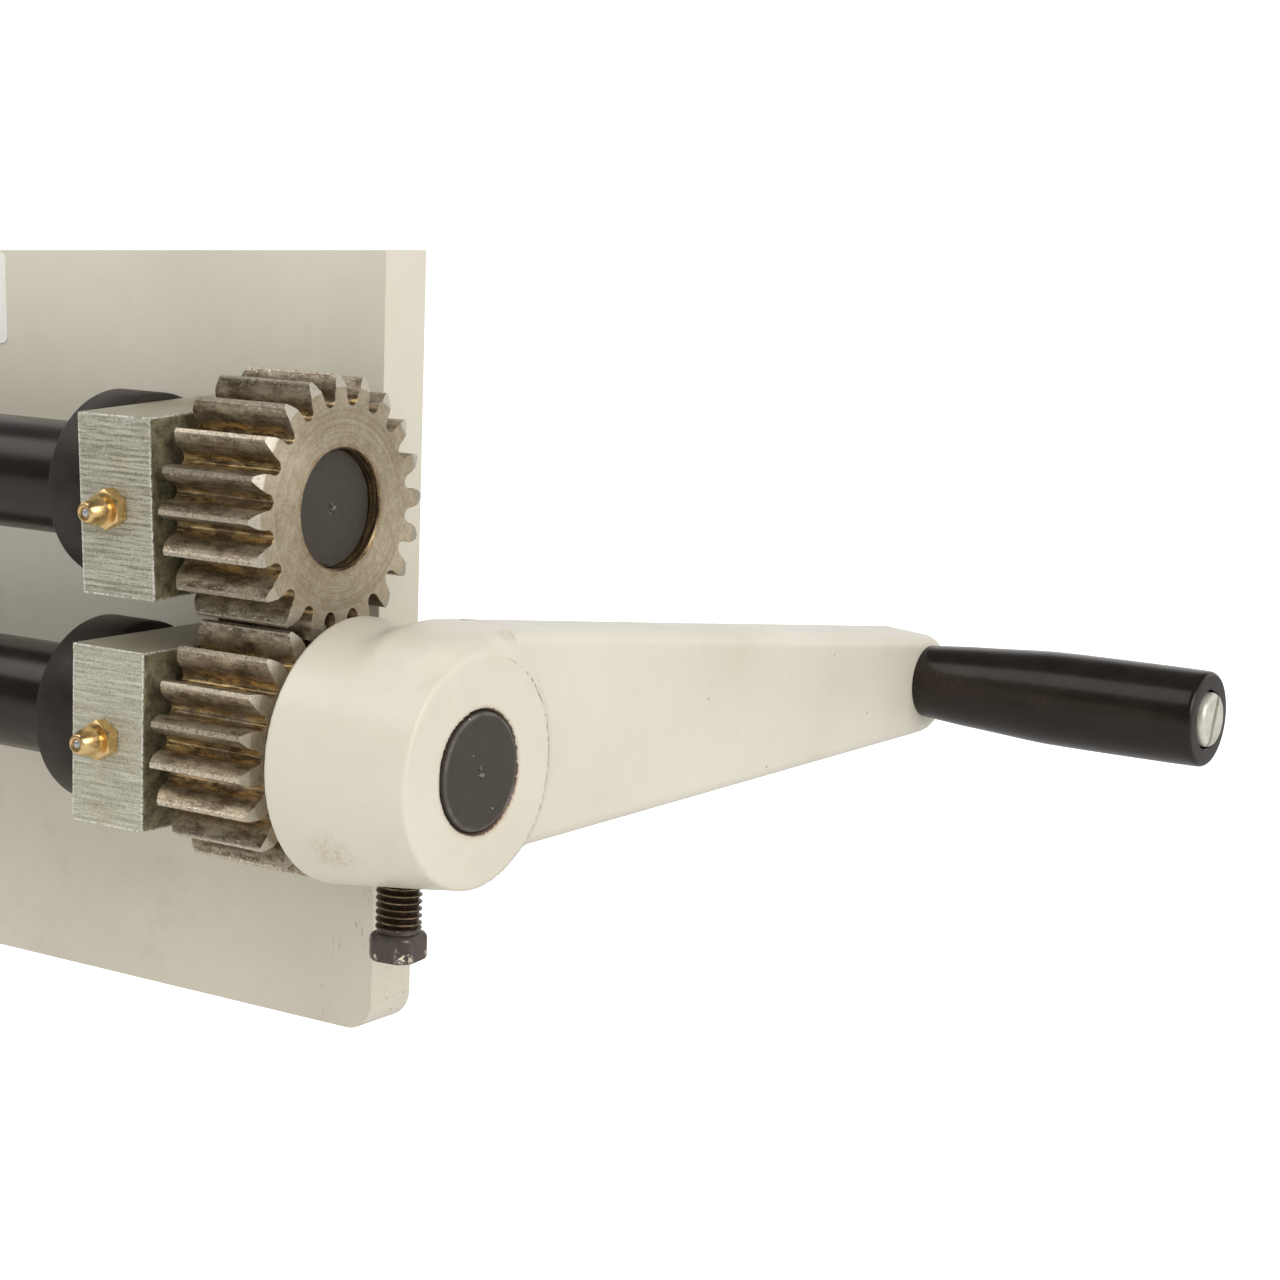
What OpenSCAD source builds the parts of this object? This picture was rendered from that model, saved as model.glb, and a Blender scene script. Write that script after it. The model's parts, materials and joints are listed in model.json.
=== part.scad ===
// Hand cranked sheet metal crimping and beading machine.
// Two parallel shafts, geared together, run along the front of a deep C-shaped frame plate.
// The crank turns the lower shaft; the upper shaft tilts about its rear block as the screw closes the rolls.
// X runs along the shafts with the crank at +X, Y runs from the shafts to the plate, Z is up.
// The origin is on the floor, at the centre of the pedestal's bolt pattern.

/* [Frame plate] */
// Thickness of the frame plate
plate_t = 14; // [12:0.5:18]
// Length of the frame plate
plate_len = 612; // [580:1:640]
// Crank end of the plate, behind the outer face of the upper gear
plate_inset = 13.4; // [8:0.2:18]
// Height of the lower shaft axis above the plate's bottom edge
axis_up = 71.5; // [68:0.5:78]
// Distance from the shaft axes to the plate's front face
axis_out = 30; // [29:0.5:34]
// Height of the top edge above the upper shaft axis, at the crank end
plate_over = 52.5; // [45:0.5:60]
// Height of the top edge above the upper shaft axis, at the roll end
plate_over_far = 27.5; // [26:0.5:34]
// Radius of the plate's lower corner at the crank end
corner_r = 7; // [6:1:14]
// Height of the throat slot
throat_h = 20; // [14:1:22]
// Solid plate between the throat slot and the crank end
throat_back = 180; // [150:5:200]
// Length of the rising nose under the roll end
nose_len = 155; // [120:5:170]
// Rise of the bottom edge along the nose
nose_rise = 26.5; // [16:0.5:30]

/* [Shafts] */
// Diameter of both shafts
shaft_d = 25; // [22:0.5:26]
// Crank end of the lower shaft, beyond the outer face of the upper gear
low_end_out = 37.6; // [36:0.2:42]
// Crank end of the upper shaft, inside the outer face of its gear
up_end_in = 2.5; // [1:0.5:5]
// Diameter of the shaft ends that carry the rolls
seat_d = 20; // [18:0.5:21]
// Diameter of the threaded roll ends
end_thread_d = 16; // [14:1:17]

/* [Gears] */
// Module of the two gears
gear_mod = 2.5; // [2.4:0.05:2.6]
// Number of teeth on each gear
gear_teeth = 20; // [20:2:22]
// Face width of each gear
gear_w = 26; // [20:1:27]
// Chamfer on the tooth tips
gear_chamfer = 1; // [0.6:0.1:1.6]
// Depth of that chamfer below the tooth tips
gear_chamfer_in = 2.5; // [1.2:0.1:2.6]
// Shift of the lower gear away from the crank
gear_step = 2; // [0:0.5:3]
// Thinning of each tooth for running play
backlash = 0.36; // [0.3:0.02:0.5]
// Turn of the meshing tooth away from the centre line, in degrees
gear_phase = 1.6; // [0:0.2:8]
// Diameter of the cross pin through each gear
gear_pin_d = 5; // [4:0.5:6]

/* [Bearing blocks] */
// Width of each bearing block along the shaft
block_w = 20; // [18:1:24]
// Height of each bearing block
block_h = 38; // [36:1:42]
// Front of each block, ahead of the shaft axis
block_front = 25; // [22:1:28]
// Gap between each gear and its rear block
gear_gap = 3.4; // [2:0.2:5]
// Lean of the pivoting rear block, in degrees
block_lean = 0.4; // [0:0.1:3]
// Roll of the pivoting rear block about the shaft, in degrees
block_roll = 2.7; // [0:0.1:3]
// Wall of the bronze bushes
bush_wall = 2; // [1.5:0.5:3]
// Centre of the far blocks from the plate's roll end
far_block_in = 23.4; // [23:0.2:30]

/* [Collars] */
// Outer diameter of the shaft collars
collar_d = 41.2; // [36:0.2:44]
// Width of the shaft collars
collar_w = 13.5; // [10:0.5:18]
// Gap between the lower collar and its block
low_collar_gap = 2.4; // [0.2:0.2:3]
// Gap between the upper collar and its block
up_collar_gap = 0.6; // [0.2:0.2:3]
// Diameter of the collar set screws
collar_screw_d = 6; // [5:1:8]

/* [Grease nipples] */
// Height of each nipple above its block
nipple_h = 8.5; // [7:0.5:11]
// Width across flats of the nipple's hexagon
nipple_flats = 7.6; // [7:0.2:9]
// Diameter of the nipple's thread
nipple_thread_d = 6; // [5:0.5:6]

/* [Rolls] */
// Length of the spacer between the far block and the rolls
spacer_w = 18.5; // [17:0.5:24]
// Outer diameter of the spacers
spacer_d = 30; // [28:1:34]
// Width of the crimping rolls
crimp_w = 30; // [20:1:40]
// Number of teeth on each crimping roll
crimp_teeth = 24; // [20:2:26]
// Height of the crimping teeth
crimp_h = 4; // [3:0.2:4.4]
// Width of the beading rolls
bead_w = 12; // [10:1:16]
// Radius of the bead
bead_r = 3; // [2:0.2:4]
// Room left between the rolls when the screw is down
nip = 1; // [0.8:0.1:2]
// Width and height of the roll keys
key_w = 6; // [5:0.5:6]

/* [Crank] */
// Radius of the hub at its back edge
hub_r = 28.1; // [27:0.1:31]
// Radius of the hub at its front edge
hub_front_r = 24.5; // [22:0.1:26]
// Length of the hub
hub_len = 32.9; // [30:0.1:36]
// Gap between the upper gear's face and the hub
hub_gap = 4; // [3:0.1:5.2]
// Rounding of the hub's front edge
hub_round = 1.2; // [0.6:0.2:5]
// Distance from the shaft axis to the grip axis
crank_r = 196.5; // [150:0.5:205]
// Drop of the grip axis below the shaft axis, in degrees
crank_rest = 1.75; // [0:0.25:4]
// Thickness of the arm
arm_t = 16; // [12:0.1:18]
// Radius of the arm's round end
arm_end_r = 13.8; // [12:0.2:17]
// Top edge of the arm above the shaft axis, beside the hub
arm_top = 28.3; // [26:0.1:29]
// Bottom edge of the arm below the shaft axis, beside the hub
arm_bottom = 20.2; // [16:0.2:22]
// Rounding of the arm's front edges
arm_round = 3; // [1.5:0.5:4]
// Thread diameter of the square head set screw
set_d = 9.7; // [8:0.1:10]

/* [Grip] */
// Length of the grip
grip_len = 77.2; // [60:0.2:100]
// Largest radius of the grip
grip_r = 11.9; // [11:0.1:15]
// Diameter of the spindle inside the grip
spindle_d = 10; // [8:0.5:10]
// Diameter of the spindle's slotted head
spindle_head_d = 13.4; // [13:0.2:15]

/* [Adjusting screw] */
// Diameter of the adjusting screw
screw_d = 16; // [14:1:18]
// Downward travel of the screw that closes the rolls
screw_travel = 5.5; // [4:0.5:6]
// Length of the sliding handle bar
bar_len = 120; // [90:5:150]
// Diameter of the handle bar
bar_d = 10; // [8:1:12]
// Diameter of the knobs on the bar
knob_d = 18; // [16:1:24]
// Width of each leg of the screw yoke
leg_w = 12; // [10:0.5:12]
// Height of the yoke's bridge
bridge_h = 22; // [18:1:30]
// Diameter of the yoke's bolts
yoke_bolt_d = 6; // [5:1:6]

/* [Pedestal] */
// Clear height below the frame plate
stand_h = 170; // [160:1:240]
// Distance from the pedestal's centre to the outer face of the upper gear
gear_face_x = 320; // [300:1:330]
// Length of the base plate along the shafts
base_len = 220; // [200:5:280]
// Depth of the base plate
base_dep = 200; // [180:5:280]
// Thickness of the base plate
base_t = 12; // [10:1:16]
// Corner radius of the base plate
base_corner_r = 12; // [8:1:18]
// Spacing of the base holes along the shafts
hole_x = 180; // [160:5:180]
// Spacing of the base holes across the shafts
hole_y = 160; // [140:5:160]
// Diameter of the base holes
hole_d = 14; // [10:1:16]
// Width of the column along the shafts
column_len = 80; // [70:5:120]
// Depth of the column
column_dep = 60; // [50:5:80]
// Wall of the column
column_wall = 5; // [3:0.5:8]
// Thickness of the saddle's floor and cheeks
saddle_t = 10; // [8:1:12]
// Height of the saddle's cheeks above its floor
saddle_h = 45; // [36:1:48]
// Length of the saddle
saddle_len = 140; // [120:5:160]
// Diameter of the saddle bolts
saddle_bolt_d = 12; // [10:1:14]

/* [Fasteners] */
// Diameter of the bolts that hold the fixed blocks
block_bolt_d = 8; // [6:1:8]
// Diameter of the pivot bolt behind the rear block
pivot_d = 12; // [10:1:13]
// Diameter of the cap screws on the keeper
keeper_screw_d = 5; // [4:0.5:5]

/* [Hidden] */

// Facets of every round shape, and of the shapes inside a hull
$fn = 96;
hull_fn = 32;

// Clearances: running fit, fixed fit, bolt holes, flat faces that slide, faces that only pass, and cuts
run = 0.05;
snug = 0.02;
bolt_gap = 0.25;
slide = 0.2;
pass = 0.6;
over = 1;

// Shaft line: the lower axis height, the distance between the axes and the frame of the shaft line
axes_gap = gear_mod * gear_teeth;
low_z = stand_h + axis_up;
axis_y = axis_out + plate_t / 2;
plate_back = axis_out + plate_t;

// Plate outline along X from the gear's outer face
plate_x0 = -plate_inset;
plate_x1 = plate_x0 - plate_len;
throat_x = plate_x0 - throat_back;

// Gear proportions
tooth_count_step = 360 / gear_teeth;
pitch_r = axes_gap / 2;
tip_height_share = 1.14;
root_depth_share = 1.25;
gear_tip_r = pitch_r + gear_mod * tip_height_share;
gear_root_r = pitch_r - gear_mod * root_depth_share;
pressure = 20;
gear_base_r = pitch_r * cos(pressure);
tooth_w = PI * gear_mod / 2 - backlash;
flank_steps = 5;
mouth_chamfer = 0.5;
low_gear_x = -gear_w - gear_step;
up_gear_x = -gear_w;

// Block places: centres of the blocks along X
low_block_x = low_gear_x - gear_gap - block_w / 2;
up_block_x = up_gear_x - gear_gap - block_w / 2;
far_x = plate_x1 + far_block_in;
block_edge = 0.6;
bush_r = shaft_d / 2 + bush_wall;
block_back = axis_out;
grease_d = 3;
nipple_off_x = 0.8;
nipple_off_z = 0.4;

// Leaning block: the collar beside it clears the block's leaning edge
lean_room = (block_h / 2 + axis_out * sin(block_roll)) * sin(block_lean);
low_collar_x = low_block_x - block_w / 2 - low_collar_gap - collar_w;
up_collar_x = up_block_x - block_w / 2 - lean_room - up_collar_gap - collar_w;
collar_edge = 1;

// Roll end of both shafts
step_x = far_x - block_w / 2 - pass;
spacer_x = step_x - spacer_w;
crimp_x = spacer_x - crimp_w;
bead_x = crimp_x - bead_w;
washer_t = 3;
roll_washer_x = bead_x - washer_t;
nut_share = 0.8;
nut_h = end_thread_d * nut_share;
roll_nut_x = roll_washer_x - nut_h;
thread_tail = 3;
shaft_end_x = roll_nut_x - thread_tail;
shaft_chamfer = 1;
key_len = crimp_w + bead_w;

// Closing motion: the upper shaft tilts about the pivot bolt as the screw goes down
screw_arm = up_block_x - far_x;
roll_arm = up_block_x - (spacer_x + bead_x) / 2;
roll_travel = screw_travel * roll_arm / screw_arm;
crimp_mid_r = (axes_gap - roll_travel - nip) / 2;
crimp_tip_r = crimp_mid_r + crimp_h / 2;
crimp_root_r = crimp_mid_r - crimp_h / 2;
crimp_tip_share = 0.24;
crimp_foot_share = 0.42;
bead_rim_up_r = crimp_mid_r - bead_r / 2;
bead_rim_low_r = crimp_mid_r + bead_r / 2;

// Hexagons, washers and heads as shares of the thread
hex_share = 1.6;
head_share = 0.62;
washer_share = 2;
thin_washer_share = 0.2;
corner = 1 / cos(30);

// Bolts behind the plate
low_bolt_off = 11;
low_bolt_share = 0.6;
block_bolt_deep = (axis_out - bush_r) * low_bolt_share;
far_bolt_down = 12;
far_bolt_up = 6;
block_washer_t = block_bolt_d * thin_washer_share;
pivot_washer_t = 2.5;
pivot_washer_share = 2.2;
pivot_deep_share = 0.8;
pivot_deep = (axis_out - bush_r) * pivot_deep_share;

// Yoke over the far upper block
keeper_len = 44;
pad_h = 5;
pad_d = 15;
pad_room = 0.5;
neck_d = 8;
neck_room = 1;
keeper_top = 3;
keeper_h = pad_h + 2 * slide + keeper_top;
keeper_screw_y = 15;
keeper_deep = 12;
keeper_head_share = 1.6;
keeper_sink = 2.6;
yoke_in = block_w / 2 + pass;
yoke_out = yoke_in + leg_w;
yoke_front = 22;
yoke_low = 14;
yoke_room = 3;
bridge_z = block_h / 2 + keeper_h + yoke_room;
yoke_edge = 2;
yoke_bolt_z0 = 3;
yoke_bolt_z1 = 20;
notch_r = spacer_d / 2 + over;
yoke_bolt_share = 0.75;
yoke_bolt_deep = (axis_out - notch_r) * yoke_bolt_share;
yoke_washer_t = yoke_bolt_d * thin_washer_share;
pad_z = block_h / 2 + slide;
neck_up = 0.8;
screw_low_z = block_h / 2 + keeper_h + neck_up;
head_clear = 6;
screw_head_z = bridge_z + bridge_h + screw_travel + head_clear;
screw_head_d = screw_d + bar_d;
screw_head_h = 2 * bar_d;
pad_seat = 3.5;
knob_grip = 12;

// Crank
hub_x = hub_gap;
hub_end = hub_x + hub_len;
arm_proud = 1.3;
arm_x1 = hub_end - arm_proud;
arm_x0 = arm_x1 - arm_t;
arm_rod_r = 6;
arm_rod_y = 11.5;
arm_draft = 0.7;
hub_edge = 0.8;
set_share = 0.4055;
set_x = hub_x + hub_len * set_share;
set_point = 1.2;
set_out = 7.6;
set_neck = 0.8;
set_neck_d = 8.9;
set_head_w = 10;
set_head_d = 12;
set_head_h = 6.1;
set_dome = 0.6;
set_turn = 7;

// Grip
grip_x = arm_x1 + slide;
grip_sink = 2.8;
spindle_head_h = 4;
slot_w = 1.6;
slot_h = 1.4;
slot_turn = 20;
grip_shares = [
    [0, 0.775], [0.03, 0.795], [0.15, 0.857], [0.3, 0.908], [0.45, 0.968], [0.6, 0.993],
    [0.75, 1], [0.9, 0.994], [0.97, 0.975], [1, 0.9]
];

// Pedestal
saddle_bolt_x = 45;
saddle_bolt_z = 26;
saddle_z = stand_h - saddle_t;
nut_flat_share = 1.55;
saddle_washer_t = 2.5;
bolt_tail = 3;
fillet_w = 6;

// Places a child on the lower shaft line, with X zero at the upper gear's outer face
module on_lower() {
    translate([gear_face_x, -axis_y, low_z]) children();
}

// Places a child on the upper shaft line
module on_upper() {
    translate([gear_face_x, -axis_y, low_z + axes_gap]) children();
}

// Solid cylinder along X from x0 over a length
module rod_x(d, x0, len) {
    translate([x0, 0, 0]) rotate([0, 90, 0]) cylinder(d = d, h = len);
}

// Cylinder along Y from y0 over a length
module rod_y(d, y0, len) {
    translate([0, y0, 0]) rotate([-90, 0, 0]) cylinder(d = d, h = len);
}

// Ring along X
module ring_x(od, id, x0, len) {
    difference() {
        rod_x(od, x0, len);
        rod_x(id, x0 - over, len + 2 * over);
    }
}

// Ring along Y
module ring_y(od, id, y0, len) {
    difference() {
        rod_y(od, y0, len);
        rod_y(id, y0 - over, len + 2 * over);
    }
}

// Shape turned about the X axis from an outline of [x, radius] points
module turned_x(points) {
    rotate([90, 0, 90]) rotate_extrude() polygon([for (p = points) [p[1], p[0]]]);
}

// Hexagon bolt from behind: head on the +Y side of the seat, shank towards -Y
module rear_bolt(d, seat_y, len) {
    translate([0, seat_y, 0]) rotate([-90, 0, 0]) cylinder(d = d * hex_share * corner, h = d * head_share, $fn = 6);
    rod_y(d, seat_y - len, len + over / 2);
}

// Frame plate outline in X and Z, with the throat slot open at the roll end
module plate_outline() {
    low = -axis_up;
    difference() {
        union() {
            polygon([
                [plate_x0, axes_gap + plate_over],
                [plate_x0, low + corner_r],
                [plate_x0 - corner_r, low],
                [plate_x1 + nose_len, low],
                [plate_x1, low + nose_rise],
                [plate_x1, axes_gap + plate_over_far]
            ]);
            translate([plate_x0 - corner_r, low + corner_r]) circle(r = corner_r);
        }
        translate([plate_x1 - over, axes_gap / 2 - throat_h / 2])
            square([throat_x - throat_h / 2 - plate_x1 + over, throat_h]);
        translate([throat_x - throat_h / 2, axes_gap / 2]) circle(d = throat_h);
    }
}

// Places a child on each saddle bolt
module at_saddle_bolts() {
    for (s = [-1, 1]) translate([s * saddle_bolt_x, 0, stand_h + saddle_bolt_z]) children();
}

// Places a child on each bolt of the two lower blocks, on the lower shaft line
module at_block_bolts() {
    for (s = [-1, 1]) translate([low_block_x, 0, s * low_bolt_off]) children();
    translate([far_x, 0, -far_bolt_down]) children();
    translate([far_x, 0, far_bolt_up]) children();
}

// Places a child on each yoke bolt, on the upper shaft line
module at_yoke_bolts() {
    for (s = [-1, 1], z = [-yoke_bolt_z0, yoke_bolt_z1])
        translate([far_x + s * (yoke_in + leg_w / 2), 0, z]) children();
}

module frame_plate() {
    color([0.79, 0.76, 0.69]) difference() {
        on_lower() translate([0, plate_back, 0]) rotate([90, 0, 0])
            linear_extrude(plate_t) plate_outline();
        on_lower() at_block_bolts() rod_y(block_bolt_d + 2 * bolt_gap, axis_out - over, plate_t + 2 * over);
        on_upper() at_yoke_bolts() rod_y(yoke_bolt_d + 2 * bolt_gap, axis_out - over, plate_t + 2 * over);
        on_upper() translate([up_block_x, 0, 0])
            rod_y(pivot_d + 2 * run, axis_out - over, plate_t + 2 * over);
        at_saddle_bolts() rod_y(saddle_bolt_d + 2 * bolt_gap, -plate_t / 2 - over, plate_t + 2 * over);
    }
}

module pedestal_base() {
    x = base_len / 2 - base_corner_r;
    y = base_dep / 2 - base_corner_r;
    color([0.79, 0.76, 0.69]) difference() {
        linear_extrude(base_t) union() {
            square([2 * x, base_dep], center = true);
            square([base_len, 2 * y], center = true);
            for (i = [-1, 1], j = [-1, 1]) translate([i * x, j * y]) circle(r = base_corner_r);
        }
        for (i = [-1, 1], j = [-1, 1])
            translate([i * hole_x / 2, j * hole_y / 2, -over]) cylinder(d = hole_d, h = base_t + 2 * over);
    }
}

module pedestal_column() {
    h = saddle_z - base_t;
    color([0.79, 0.76, 0.69]) translate([0, 0, base_t]) linear_extrude(h) difference() {
        square([column_len, column_dep], center = true);
        square([column_len - 2 * column_wall, column_dep - 2 * column_wall], center = true);
    }
}

module pedestal_saddle() {
    w = plate_t + 2 * snug;
    color([0.79, 0.76, 0.69]) difference() {
        union() {
            translate([-saddle_len / 2, -column_dep / 2, saddle_z]) cube([saddle_len, column_dep, saddle_t]);
            for (s = [-1, 1])
                translate([-saddle_len / 2, s > 0 ? w / 2 : -w / 2 - saddle_t, saddle_z])
                    cube([saddle_len, saddle_t, saddle_t + saddle_h]);
        }
        at_saddle_bolts()
            rod_y(saddle_bolt_d + 2 * bolt_gap, -plate_t - saddle_t, 2 * (plate_t + saddle_t));
    }
}

module saddle_bolts() {
    seat = plate_t / 2 + snug + saddle_t + saddle_washer_t;
    len = 2 * seat + saddle_bolt_d * nut_share + bolt_tail;
    color([0.62, 0.62, 0.6]) at_saddle_bolts() rotate([0, 0, 180]) rear_bolt(saddle_bolt_d, seat, len);
}

module saddle_nuts() {
    seat = plate_t / 2 + snug + saddle_t + saddle_washer_t;
    color([0.62, 0.62, 0.6]) at_saddle_bolts() difference() {
        translate([0, seat, 0]) rotate([-90, 0, 0])
            cylinder(d = saddle_bolt_d * nut_flat_share * corner, h = saddle_bolt_d * nut_share, $fn = 6);
        rod_y(saddle_bolt_d + 2 * snug, seat - over, saddle_bolt_d * nut_share + 2 * over);
    }
}

module saddle_washers() {
    seat = plate_t / 2 + snug + saddle_t;
    color([0.62, 0.62, 0.6]) at_saddle_bolts() for (a = [0, 180]) rotate([0, 0, a])
        ring_y(saddle_bolt_d * washer_share, saddle_bolt_d + 2 * bolt_gap, seat, saddle_washer_t);
}

// Bearing block on the shaft line at the origin: body with its bore, grease hole and back holes.
// A leaning or rolling block still has an upright back face.
module bearing_block(back, lean, roll) {
    difference() {
        intersection() {
            rotate([0, -lean, 0]) rotate([roll, 0, 0]) translate([-block_w / 2, -block_front, -block_h / 2])
                cube([block_w, block_front + back + over + block_h * sin(roll), block_h]);
            translate([-block_w, -2 * block_front, -block_h])
                cube([2 * block_w, 2 * block_front + back, 2 * block_h]);
        }
        rod_x(2 * (bush_r + snug), -block_w, 2 * block_w);
        rotate([0, -lean, 0]) rotate([roll, 0, 0]) translate([-nipple_off_x, 0, -nipple_off_z])
            rod_y(nipple_thread_d + 2 * snug, -block_front - over, block_front + over);
        children();
    }
}

module lower_rear_block() {
    color([0.7, 0.7, 0.65]) on_lower() translate([low_block_x, 0, 0]) bearing_block(block_back, 0, 0)
        for (s = [-1, 1]) translate([0, 0, s * low_bolt_off])
            rod_y(block_bolt_d + 2 * snug, block_back - block_bolt_deep, block_bolt_deep + over);
}

module lower_front_block() {
    color([0.7, 0.7, 0.65]) on_lower() translate([far_x, 0, 0]) bearing_block(block_back, 0, 0)
        for (z = [-far_bolt_down, far_bolt_up]) translate([0, 0, z])
            rod_y(block_bolt_d + 2 * snug, block_back - block_bolt_deep, block_bolt_deep + over);
}

module upper_rear_block() {
    color([0.7, 0.7, 0.65]) on_upper() translate([up_block_x, 0, 0])
        bearing_block(block_back - slide, block_lean, block_roll)
            rod_y(pivot_d + 2 * snug, axis_out - slide - pivot_deep, pivot_deep + over);
}

module upper_front_block() {
    color([0.7, 0.7, 0.65]) on_upper() translate([far_x, 0, 0])
        bearing_block(block_back - slide, 0, 0)
            for (s = [-1, 1]) translate([0, s * keeper_screw_y, block_h / 2 - keeper_deep])
                cylinder(d = keeper_screw_d + 2 * snug, h = keeper_deep + over);
}

// Bronze bush centred on the origin, with its grease hole to the front
module bush() {
    difference() {
        ring_x(2 * bush_r, shaft_d + 2 * run, -block_w / 2, block_w);
        rod_y(grease_d, -bush_r - over, bush_r + over);
    }
}

module lower_bushes() {
    color([0.72, 0.55, 0.3]) on_lower() for (x = [low_block_x, far_x]) translate([x, 0, 0]) bush();
}

module upper_bushes() {
    color([0.72, 0.55, 0.3]) on_upper() {
        translate([up_block_x, 0, 0]) rotate([block_roll, 0, 0]) bush();
        translate([far_x, 0, 0]) bush();
    }
}

// Grease nipple on a block's front face: thread, hexagon, cone, neck and ball head
module nipple() {
    hex_h = nipple_h * 0.36;
    cone_h = nipple_h * 0.28;
    neck_h = nipple_h * 0.1;
    head_h = nipple_h - hex_h - cone_h - neck_h;
    thread_in = block_front - bush_r - snug;
    rotate([90, 0, 0]) difference() {
        union() {
            translate([0, 0, -thread_in]) cylinder(d = nipple_thread_d, h = thread_in + hex_h / 2);
            cylinder(d = nipple_flats * corner, h = hex_h, $fn = 6);
            translate([0, 0, hex_h])
                cylinder(d1 = nipple_flats * 0.92, d2 = nipple_flats * 0.62, h = cone_h);
            translate([0, 0, hex_h + cone_h]) cylinder(d = nipple_flats * 0.56, h = neck_h);
            translate([0, 0, hex_h + cone_h + neck_h])
                cylinder(d1 = nipple_flats * 0.76, d2 = nipple_flats * 0.4, h = head_h);
        }
        translate([0, 0, -thread_in - over]) cylinder(d = nipple_flats * 0.2, h = thread_in + nipple_h);
    }
}

module lower_nipples() {
    color([0.8, 0.62, 0.27]) on_lower() for (x = [low_block_x, far_x])
        translate([x - nipple_off_x, -block_front, -nipple_off_z]) nipple();
}

module upper_nipples() {
    color([0.8, 0.62, 0.27]) on_upper() {
        translate([up_block_x, 0, 0]) rotate([0, -block_lean, 0]) rotate([block_roll, 0, 0])
            translate([-nipple_off_x, -block_front, -nipple_off_z]) nipple();
        translate([far_x - nipple_off_x, -block_front, -nipple_off_z]) nipple();
    }
}

module block_bolts() {
    color([0.3, 0.3, 0.3]) on_lower() at_block_bolts()
        rear_bolt(block_bolt_d, plate_back + block_washer_t, plate_t + block_washer_t + block_bolt_deep - bolt_gap);
}

module block_washers() {
    color([0.62, 0.62, 0.6]) on_lower() at_block_bolts()
        ring_y(block_bolt_d * washer_share, block_bolt_d + 2 * snug, plate_back, block_washer_t);
}

module pivot_bolt() {
    color([0.3, 0.3, 0.3]) on_upper() translate([up_block_x, 0, 0])
        rear_bolt(pivot_d, plate_back + slide + pivot_washer_t,
            plate_t + 2 * slide + pivot_washer_t + pivot_deep - bolt_gap);
}

module pivot_washer() {
    color([0.62, 0.62, 0.6]) on_upper() translate([up_block_x, 0, 0])
        ring_y(pivot_d * pivot_washer_share, pivot_d + 2 * snug, plate_back + slide, pivot_washer_t);
}

// Inverted U bolted to the plate's front, which guides the far upper block and carries the screw
module screw_yoke() {
    back = axis_out;
    color([0.79, 0.76, 0.69]) on_upper() translate([far_x, 0, 0]) difference() {
        translate([-yoke_out, -yoke_front, -yoke_low])
            cube([2 * yoke_out, yoke_front + back, yoke_low + bridge_z + bridge_h]);
        translate([-yoke_in, -yoke_front - over, -yoke_low - over])
            cube([2 * yoke_in, yoke_front + back + 2 * over, yoke_low + bridge_z + over]);
        translate([0, 0, bridge_z - over]) cylinder(d = screw_d + 2 * run, h = bridge_h + 2 * over);
        rod_x(2 * notch_r, -yoke_out - over, 2 * (yoke_out + over));
        translate([-yoke_out - over, -notch_r, -yoke_low - over])
            cube([2 * (yoke_out + over), 2 * notch_r, yoke_low + over]);
        for (s = [-1, 1], z = [-yoke_bolt_z0, yoke_bolt_z1])
            translate([s * (yoke_in + leg_w / 2), 0, z])
                rod_y(yoke_bolt_d + 2 * snug, back - yoke_bolt_deep, yoke_bolt_deep + over);
    }
}

module yoke_bolts() {
    color([0.3, 0.3, 0.3]) on_upper() at_yoke_bolts()
        rear_bolt(yoke_bolt_d, plate_back + yoke_washer_t, plate_t + yoke_washer_t + yoke_bolt_deep - bolt_gap);
}

module yoke_washers() {
    color([0.62, 0.62, 0.6]) on_upper() at_yoke_bolts()
        ring_y(yoke_bolt_d * washer_share, yoke_bolt_d + 2 * snug, plate_back, yoke_washer_t);
}

// Shaft with chamfered ends, a stepped roll seat with its keyway and a threaded end
module shaft_body(end_x) {
    difference() {
        union() {
            turned_x([
                [shaft_end_x, 0], [shaft_end_x, end_thread_d / 2 - shaft_chamfer],
                [shaft_end_x + shaft_chamfer, end_thread_d / 2], [bead_x, end_thread_d / 2],
                [bead_x, seat_d / 2], [step_x, seat_d / 2], [step_x, shaft_d / 2],
                [end_x - shaft_chamfer, shaft_d / 2], [end_x, shaft_d / 2 - shaft_chamfer], [end_x, 0]
            ]);
        }
        translate([bead_x, -key_w / 2, seat_d / 2 - key_w / 2])
            cube([key_len, key_w, key_w]);
        children();
    }
}

// Cross pin hole or pin through a gear at an angle about the shaft
module gear_pin_shape(d, x, turn, len) {
    translate([x, 0, 0]) rotate([turn, 0, 0]) translate([0, -len / 2, 0]) rod_y(d, 0, len);
}

low_gap_angle = 90 - gear_phase;
up_gap_angle = 270 + gear_phase + tooth_count_step / 2;
low_pin_x = low_gear_x + gear_w / 2;
up_pin_x = up_gear_x + gear_w / 2;
pin_len = 2 * gear_root_r - over;

module lower_shaft() {
    color([0.16, 0.16, 0.18]) on_lower() shaft_body(low_end_out) {
        gear_pin_shape(gear_pin_d + 2 * snug, low_pin_x, low_gap_angle, shaft_d + over);
        translate([set_x, 0, -shaft_d / 2 - over]) cylinder(d = set_d + 2 * snug, h = set_point + over);
    }
}

module upper_shaft() {
    color([0.16, 0.16, 0.18]) on_upper() shaft_body(-up_end_in)
        gear_pin_shape(gear_pin_d + 2 * snug, up_pin_x, up_gap_angle, shaft_d + over);
}

// Half angle of a tooth at a radius, from the involute of the base circle
function roll(r) = acos(min(1, gear_base_r / r));
function involute(r) = tan(roll(r)) - roll(r) * PI / 180;
function half_tooth(r) = (tooth_w / 2 / pitch_r + involute(pitch_r) - involute(max(r, gear_base_r))) * 180 / PI;

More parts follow.
